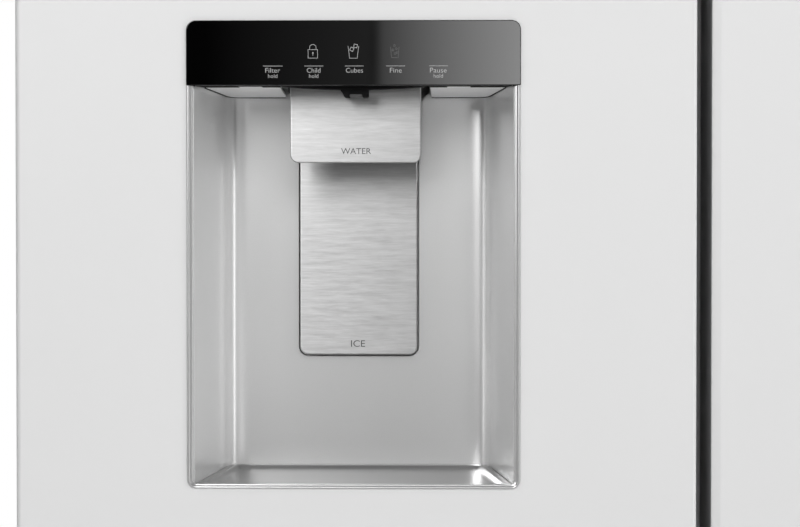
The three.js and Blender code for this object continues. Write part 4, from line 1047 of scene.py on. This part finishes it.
def fin_coil(node, body, slot, mat_fin, mat_tube, pitch, rows, cols, r_tube):
    """Plate fins on a serpentine tube that runs along X."""
    lo, hi = mmbox(node)
    x0, x1 = lo[0] + 14, hi[0] - 14
    verts, faces = [], []
    n = int((x1 - x0) / pitch)
    for k in range(n + 1):
        x = x0 + (x1 - x0) * k / n
        b = len(verts)
        for xx in (x - 0.18, x + 0.18):
            verts += [(xx, lo[1] + 1.5, lo[2] + 4), (xx, hi[1] - 1.5, lo[2] + 4), (xx, hi[1] - 1.5, hi[2] - 4), (xx, lo[1] + 1.5, hi[2] - 4)]
        faces += [(b, b + 1, b + 2, b + 3), (b + 7, b + 6, b + 5, b + 4)] + [(b + i, b + (i + 1) % 4, b + 4 + (i + 1) % 4, b + 4 + i) for i in range(4)]
    parts = [obj_from("fins", verts, faces, mat_fin, 0)]
    for xx in (x0 - 1.0, x1 + 1.0):
        end = extrude("end", rrect(lo[1], hi[1], lo[2], hi[2], 3, 4), "x", xx - 0.7, xx + 0.7, M["galv"])
        bevel(end, 0.3, 1)
        bake(end)
        parts.append(end)
    for cidx in range(cols):
        y = lo[1] + (hi[1] - lo[1]) * (cidx + 0.5) / cols
        pts = []
        for rdx in range(rows):
            z = lo[2] + (hi[2] - lo[2]) * (rdx + 0.5) / rows
            run = [(lo[0] + 5, y, z), (hi[0] - 5, y, z)]
            pts += run if rdx % 2 == 0 else run[::-1]
        parts.append(tube("serpentine", fillet_path(pts, 7.5, 5), r_tube, mat_tube, 10))
    return piece(merge(node + "_coil", parts), body, slot, node)


fin_coil("evaporator", "cabinet", "aluminium", M["alu"], M["alu"], 6.5, 11, 2, 4.0)
fin_coil("condenser", "cabinet", "motor_black", M["motor"], M["motor"], 7.0, 6, 4, 3.2)


def compressor():
    lo, hi = mmbox("compressor")
    cx, cy = (lo[0] + hi[0]) / 2, (lo[1] + hi[1]) / 2
    top = hi[2]
    R = 72.0
    z0 = lo[2] + 16
    prof = [(0, z0)]
    for k in range(9):
        a = math.radians(-90 + 90 * k / 8)
        prof.append((R - 24 + 24 * math.cos(a), z0 + 24 + 24 * math.sin(a)))
    mid = z0 + (top - z0) * 0.5
    prof += [(R, mid - 5), (R + 3.5, mid - 4), (R + 3.5, mid + 1), (R - 0.5, mid + 2)]
    for k in range(13):
        a = math.radians(90 * k / 12)
        prof.append(((R - 0.5) * math.cos(a) ** 0.75 if k < 12 else 0, mid + 8 + (top - mid - 8) * math.sin(a)))
    parts = [lathe("shell", prof, "z", (cx, cy, 0), M["motor"], 64, 40)]
    foot = extrude("foot", rrect(cx - 96, cx + 96, cy - 62, cy + 62, 14, 8), "z", lo[2] + 10, lo[2] + 13.2, M["galv"])
    bevel(foot, 0.6, 2)
    bake(foot)
    parts.append(foot)
    for sx in (-1, 1):
        for sy in (-1, 1):
            parts.append(lathe("grommet", [(0, 0), (11, 0), (12, 1.5), (12, 5), (8.5, 6.5), (8.5, 9), (11, 10.5), (11, 14), (8, 15.5), (5, 15.5), (5, 19), (0, 19)], "z", (cx + sx * 82, cy + sy * 46, lo[2]), M["rubber"], 28))
    box_ = extrude("terminal", rrect(cx + R - 10, cx + R + 22, z0 + 34, z0 + 84, 5, 6), "y", cy - 26, cy + 26, M["grey"])
    bevel(box_, 1.6, 3)
    bake(box_)
    parts.append(box_)
    for dy, zz, rr in ((-34, z0 + 52, 4.0), (30, z0 + 60, 3.2), (0, z0 + 44, 3.2)):
        parts.append(tube("pipe", fillet_path([(cx - R + 8, cy + dy * 0.5, zz), (cx - R - 14, cy + dy, zz), (cx - R - 14, cy + dy, zz + 46), (cx - R - 14, cy + dy * 1.4, zz + 60)], 9, 6), rr, M["copper"], 12))
    return merge("compressor_unit", parts)


piece(compressor(), "cabinet", "motor_black", "compressor")


def water_filter():
    lo, hi = mmbox("water_filter")
    cx, cz = (lo[0] + hi[0]) / 2, (lo[2] + hi[2]) / 2
    r = (hi[0] - lo[0]) / 2
    y0, y1 = lo[1], hi[1]
    body_ = lathe("body", [(0, y0 + 26), (r - 1, y0 + 26), (r - 1, y1 - 34), (r - 3, y1 - 30), (r - 9, y1 - 26), (13, y1 - 22), (13, y1 - 14), (11.5, y1 - 13), (11.5, y1 - 10), (13, y1 - 9), (13, y1 - 1), (12, y1), (0, y1)], "y", (cx, 0, cz), M["white"], 56)
    cap = lathe("cap", [(0, y0), (r - 6, y0), (r - 1.5, y0 + 1.4), (r, y0 + 4), (r, y0 + 24), (r - 1.2, y0 + 26.5), (0, y0 + 26.5)], "y", (cx, 0, cz), M["grey"], 56)
    cutters = []
    for k in range(16):
        a = 2 * math.pi * k / 16
        cutters.append(lathe("g", [(1.8, y0 - 1), (1.8, y0 + 21)], "y", (cx + (r + 0.6) * math.cos(a), 0, cz + (r + 0.6) * math.sin(a)), M["grey"], 10))
    carve(cap, merge("gs", cutters))
    bar = extrude("bar", rrect(cx - 21, cx + 21, cz - 4.5, cz + 4.5, 4.4, 6), "y", y0 - 0.0, y0 + 1.2, M["grey"])
    return merge("filter_cartridge", [body_, cap, bar])


piece(water_filter(), "filter_body", "white_plastic", "water_filter")


def ring_frame(name, x0, x1, z0, z1, prof, r, material, smooth=50, n=8):
    """Closed section (inset, y) swept around a rounded rectangle."""
    verts, faces = [], []
    per = 4 * (n + 1)
    for off, y in prof:
        rr = max(r - off, 1.0)
        for x, z in rrect(x0 + off, x1 - off, z0 + off, z1 - off, rr, n):
            verts.append((x, y, z))
    m = len(prof)
    for j in range(m):
        for i in range(per):
            a, b = j * per + i, j * per + (i + 1) % per
            c, d = ((j + 1) % m) * per + (i + 1) % per, ((j + 1) % m) * per + i
            faces.append((a, b, c, d))
    return obj_from(name, verts, faces, material, smooth)


for node, body in (("freezer_door_gasket", "freezer_door"), ("fridge_door_gasket", "fridge_door")):
    lo, hi = mmbox(node)
    ya, yb = lo[1], hi[1]
    h = yb - ya
    # two-lobed bellows with a magnet lip at the cabinet side
    sec = [(1.2, ya), (3.6, ya + 0.10 * h), (4.4, ya + 0.28 * h), (2.6, ya + 0.42 * h), (1.2, ya + 0.55 * h), (0.2, ya + 0.68 * h), (0.0, yb - 0.10 * h), (0.6, yb), (12.6, yb), (13.6, yb - 0.08 * h),
           (13.6, yb - 0.28 * h), (12.2, yb - 0.38 * h), (10.6, ya + 0.50 * h), (11.8, ya + 0.36 * h), (12.2, ya + 0.22 * h), (11.0, ya + 0.1 * h), (9.0, ya)]
    piece(ring_frame(node + "_seal", lo[0], hi[0], lo[2], hi[2], sec, 16, M["gasket"]), body, "gasket", node)


def toe_grille():
    lo, hi = mmbox("toe_grille")
    o = extrude("toe", rrect(lo[0], hi[0], lo[2], hi[2], 3, 6), "y", lo[1], hi[1], M["grey"])
    cutters = [cuboid("k", lo[0] + 4, hi[0] - 4, lo[1] + 3.2, hi[1] + 4, lo[2] + 4, hi[2] - 4, M["grey"])]
    for row in range(4):
        z = lo[2] + 12 + row * 10.5
        for seg in range(9):
            w = (hi[0] - lo[0] - 60) / 9
            x = lo[0] + 30 + seg * w
            cutters.append(extrude("k", rrect(x + 5, x + w - 5, z - 2.6, z + 2.6, 2.5, 4), "y", lo[1] - 3, lo[1] + 5, M["grey"]))
    carve(o, merge("ks", cutters))
    bevel(o, 0.5, 2)
    return piece(o, "cabinet", "grey_plastic", "toe_grille")


toe_grille()


def leg(node, body):
    lo, hi = mmbox(node)
    cx, cy = (lo[0] + hi[0]) / 2, (lo[1] + hi[1]) / 2
    r = (hi[0] - lo[0]) / 2
    foot = [(0, lo[2]), (r - 1.5, lo[2]), (r, lo[2] + 1.5), (r, lo[2] + 5), (r - 3, lo[2] + 8.5), (11, lo[2] + 11), (0, lo[2] + 11)]
    hexa = [(cx + 11 * math.cos(math.radians(60 * k)), cy + 11 * math.sin(math.radians(60 * k))) for k in range(6)]
    nut = extrude("nut", hexa, "z", lo[2] + 10.5, lo[2] + 18, M["steel"])
    bevel(nut, 0.7, 2)
    bake(nut)
    prof = [(0, lo[2] + 17)]
    z = lo[2] + 17
    while z < hi[2] - 2.4:
        prof += [(5.9, z), (6.6, z + 0.55), (5.9, z + 1.1)]
        z += 1.5
    prof += [(5.6, hi[2] - 1), (4.8, hi[2]), (0, hi[2])]
    return piece(merge(node + "_screw", [lathe("foot", foot, "z", (cx, cy, 0), M["rubber"], 40), nut, lathe("stem", prof, "z", (cx, cy, 0), M["steel"], 28)]), body, "grey_plastic", node)


leg("leveling_leg_left", "leg_left_body")
leg("leveling_leg_right", "leg_right_body")


def wheelset():
    lo, hi = mmbox("rear_wheelset")
    cy, cz = (lo[1] + hi[1]) / 2, (lo[2] + hi[2]) / 2
    r = (hi[2] - lo[2]) / 2
    parts = [lathe("axle", [(3.4, lo[0] + 4), (4, lo[0] + 5), (4, hi[0] - 5), (3.4, hi[0] - 4)], "x", (0, cy, cz), M["steel"], 24)]
    for s in (-1, 1):
        a, b = sorted((s * 391.0, s * 412.0))
        prof = [(4.2, a), (8, a), (9, a + 1.6), (12, a + 1.6), (13, a), (r - 1.8, a), (r, a + 2.2), (r, b - 2.2), (r - 1.8, b), (13, b), (12, b - 1.6), (9, b - 1.6), (8, b), (4.2, b)]
        parts.append(lathe("roller", prof, "x", (0, cy, cz), M["rubber"], 48))
    return merge("rollers", parts)


piece(wheelset(), "wheelset_body", "grey_plastic", "rear_wheelset")


# ------------------------------------------------------------------ floor, light
def floor():
    verts, faces = [(0, 0, 0)], []
    rings = [0.5, 1, 1.6, 2.4, 3.2, 4, 4.6]
    n = 64
    for r in rings:
        for k in range(n):
            a = 2 * math.pi * k / n
            verts.append((r * 1000 * math.cos(a), r * 1000 * math.sin(a), 0))
    for k in range(n):
        faces.append((0, 1 + k, 1 + (k + 1) % n))
    for j in range(len(rings) - 1):
        for k in range(n):
            a, b = 1 + j * n + k, 1 + j * n + (k + 1) % n
            faces.append((a, b, b + n, a + n))
    m = Mat("floor_pale", rough=0.6, base=(0.80, 0.80, 0.80))
    ln = m.n("ShaderNodeVectorMath", operation="LENGTH")
    m.link(m.coord.outputs["Object"], ln.inputs[0])
    far = m.remap(ln.outputs["Value"], 0, 1, 1.2, 4.4)
    mix = m.n("ShaderNodeMix", data_type="RGBA")
    mix.inputs[6].default_value = (0.84, 0.84, 0.84, 1)
    mix.inputs[7].default_value = (0.97, 0.97, 0.97, 1)
    m.link(far, mix.inputs[0])
    grain = m.n("ShaderNodeMix", data_type="RGBA", blend_type="MULTIPLY")
    grain.inputs[0].default_value = 1.0
    shade = m.n("ShaderNodeCombineColor")
    g = m.remap(m.noise(6.0, 5.0), 0.985, 1.0)
    for k in range(3):
        m.link(g, shade.inputs[k])
    m.link(mix.outputs[2], grain.inputs[6])
    m.link(shade.outputs[0], grain.inputs[7])
    m.link(grain.outputs[2], m.b.inputs["Base Color"])
    m.rough(m.noise(3.0, 4.0), 0.5, 0.66)
    return obj_from("floor", verts, faces, m.m, 0)


fl = floor()
for v in fl.data.vertices:
    v.co.z -= 0.0002
fl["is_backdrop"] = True

world = bpy.data.worlds.new("studio")
bpy.context.scene.world = world
world.use_nodes = True
wt = world.node_tree
wt.nodes.clear()


def wn(kind, **props):
    node = wt.nodes.new(kind)
    for k, v in props.items():
        setattr(node, k, v)
    return node


def wmath(op, a, b=None, clamp=False):
    node = wn("ShaderNodeMath", operation=op, use_clamp=clamp)
    for i, v in enumerate((a, b)):
        if v is None:
            continue
        if isinstance(v, (int, float)):
            node.inputs[i].default_value = v
        else:
            wt.links.new(v, node.inputs[i])
    return node.outputs[0]


tc = wn("ShaderNodeTexCoord")
sep = wn("ShaderNodeSeparateXYZ")
wt.links.new(tc.outputs["Generated"], sep.inputs[0])
dx, dy, dz = sep.outputs
az = wmath("MULTIPLY", wmath("ARCTAN2", dx, wmath("MULTIPLY", dy, -1.0)), 57.29578)  # degrees, 0 in front, + to +X
el = wmath("MULTIPLY", wmath("ARCSINE", dz), 57.29578)


def ramp(v, a, b):
    """0 below a, 1 above b, smooth between."""
    r = wn("ShaderNodeMapRange", interpolation_type="SMOOTHSTEP")
    r.inputs["From Min"].default_value = a
    r.inputs["From Max"].default_value = b
    wt.links.new(v, r.inputs["Value"])
    return r.outputs["Result"]


def band(v, a, b, soft_a, soft_b):
    up = ramp(v, a - soft_a, a + soft_a)
    down = ramp(v, b - soft_b, b + soft_b)
    return wmath("SUBTRACT", up, down, clamp=True)


def panel(level, az0, az1, sa, sb, el0=-35.0, el1=55.0, se=12.0):
    return wmath("MULTIPLY", wmath("MULTIPLY", band(az, az0, az1, sa, sb), band(el, el0, el1, se, se)), level)


def slope(level, az0, az1, el0, el1, se=2.0):
    """Rises evenly from az0 to az1, within a band of elevation."""
    r = wn("ShaderNodeMapRange")
    r.inputs["From Min"].default_value = az0
    r.inputs["From Max"].default_value = az1
    wt.links.new(az, r.inputs["Value"])
    return wmath("MULTIPLY", wmath("MULTIPLY", r.outputs["Result"], band(el, el0, el1, se, se)), level)


# soft boxes in front of the object, with a dark gap between them, on an even room
base = wmath("SUBTRACT", 0.46, panel(0.44, -45.0, 20.0, 8.0, 8.0, -40.0, 45.0, 10.0))
base = wmath("SUBTRACT", base, panel(0.38, -165.0, -50.0, 10.0, 10.0, -80.0, 80.0, 10.0))
total = base
for args in ((2.3, -72.0, -56.0, 4.0, 4.0, -25, 30, 8), (1.2, -1.9, 3.5, 0.15, 1.5, 1.2, 5.5, 0.8), (2.5, 50.0, 76.0, 6.0, 5.0, -30, 35, 8), (1.3, 7.0, 22.0, 4.0, 5.0, -28, -2, 3)):
    total = wmath("ADD", total, panel(*args))
total = wmath("ADD", total, wmath("MULTIPLY", slope(6.4, -1.9, 1.1, 1.6, 5.0, 0.6), wmath("SUBTRACT", 1.0, ramp(az, 1.6, 3.0))))
total = wmath("ADD", total, wmath("MULTIPLY", slope(0.4, -5.5, -2.2, -3.0, 8.0), wmath("SUBTRACT", 1.0, ramp(az, -2.2, -1.6))))
total = wmath("ADD", total, wmath("MULTIPLY", ramp(el, 52.0, 70.0), 0.8))
back = ramp(dy, -0.1, 0.5)
total = wmath("ADD", total, wmath("MULTIPLY", back, 0.1))
lp = wn("ShaderNodeLightPath")
bg_room = wn("ShaderNodeBackground")
wt.links.new(total, bg_room.inputs["Strength"])
bg_plain = wn("ShaderNodeBackground")
bg_plain.inputs["Strength"].default_value = 1.0
bg_plain.inputs["Color"].default_value = (1, 1, 1, 1)
mixs = wn("ShaderNodeMixShader")
wt.links.new(lp.outputs["Is Camera Ray"], mixs.inputs["Fac"])
wt.links.new(bg_room.outputs[0], mixs.inputs[1])
wt.links.new(bg_plain.outputs[0], mixs.inputs[2])
out = wn("ShaderNodeOutputWorld")
wt.links.new(mixs.outputs[0], out.inputs["Surface"])


def area(name, loc, target, size, power):
    li = bpy.data.lights.new(name, "AREA")
    li.shape = "RECTANGLE"
    li.size, li.size_y = size
    li.energy = power
    o = bpy.data.objects.new(name, li)
    bpy.context.scene.collection.objects.link(o)
    o.location = loc
    o.rotation_euler = (Vector(target) - Vector(loc)).to_track_quat("-Z", "Y").to_euler()
    return o


key = area("key", (0.02, -2.65, 2.15), (-0.26, -0.42, 1.06), (1.5, 1.0), 32.5)
key.visible_glossy = False
strip = area("strip", (-1.12, -2.6, 2.05), (-0.26, -0.42, 1.06), (0.9, 1.2), 66.0)
strip.visible_diffuse = False

bpy.context.scene.view_settings.view_transform = "Standard"
bpy.context.scene.view_settings.look = "None"
bpy.context.scene.view_settings.exposure = 0.0
bpy.context.scene.view_settings.gamma = 1.0

lo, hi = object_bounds()
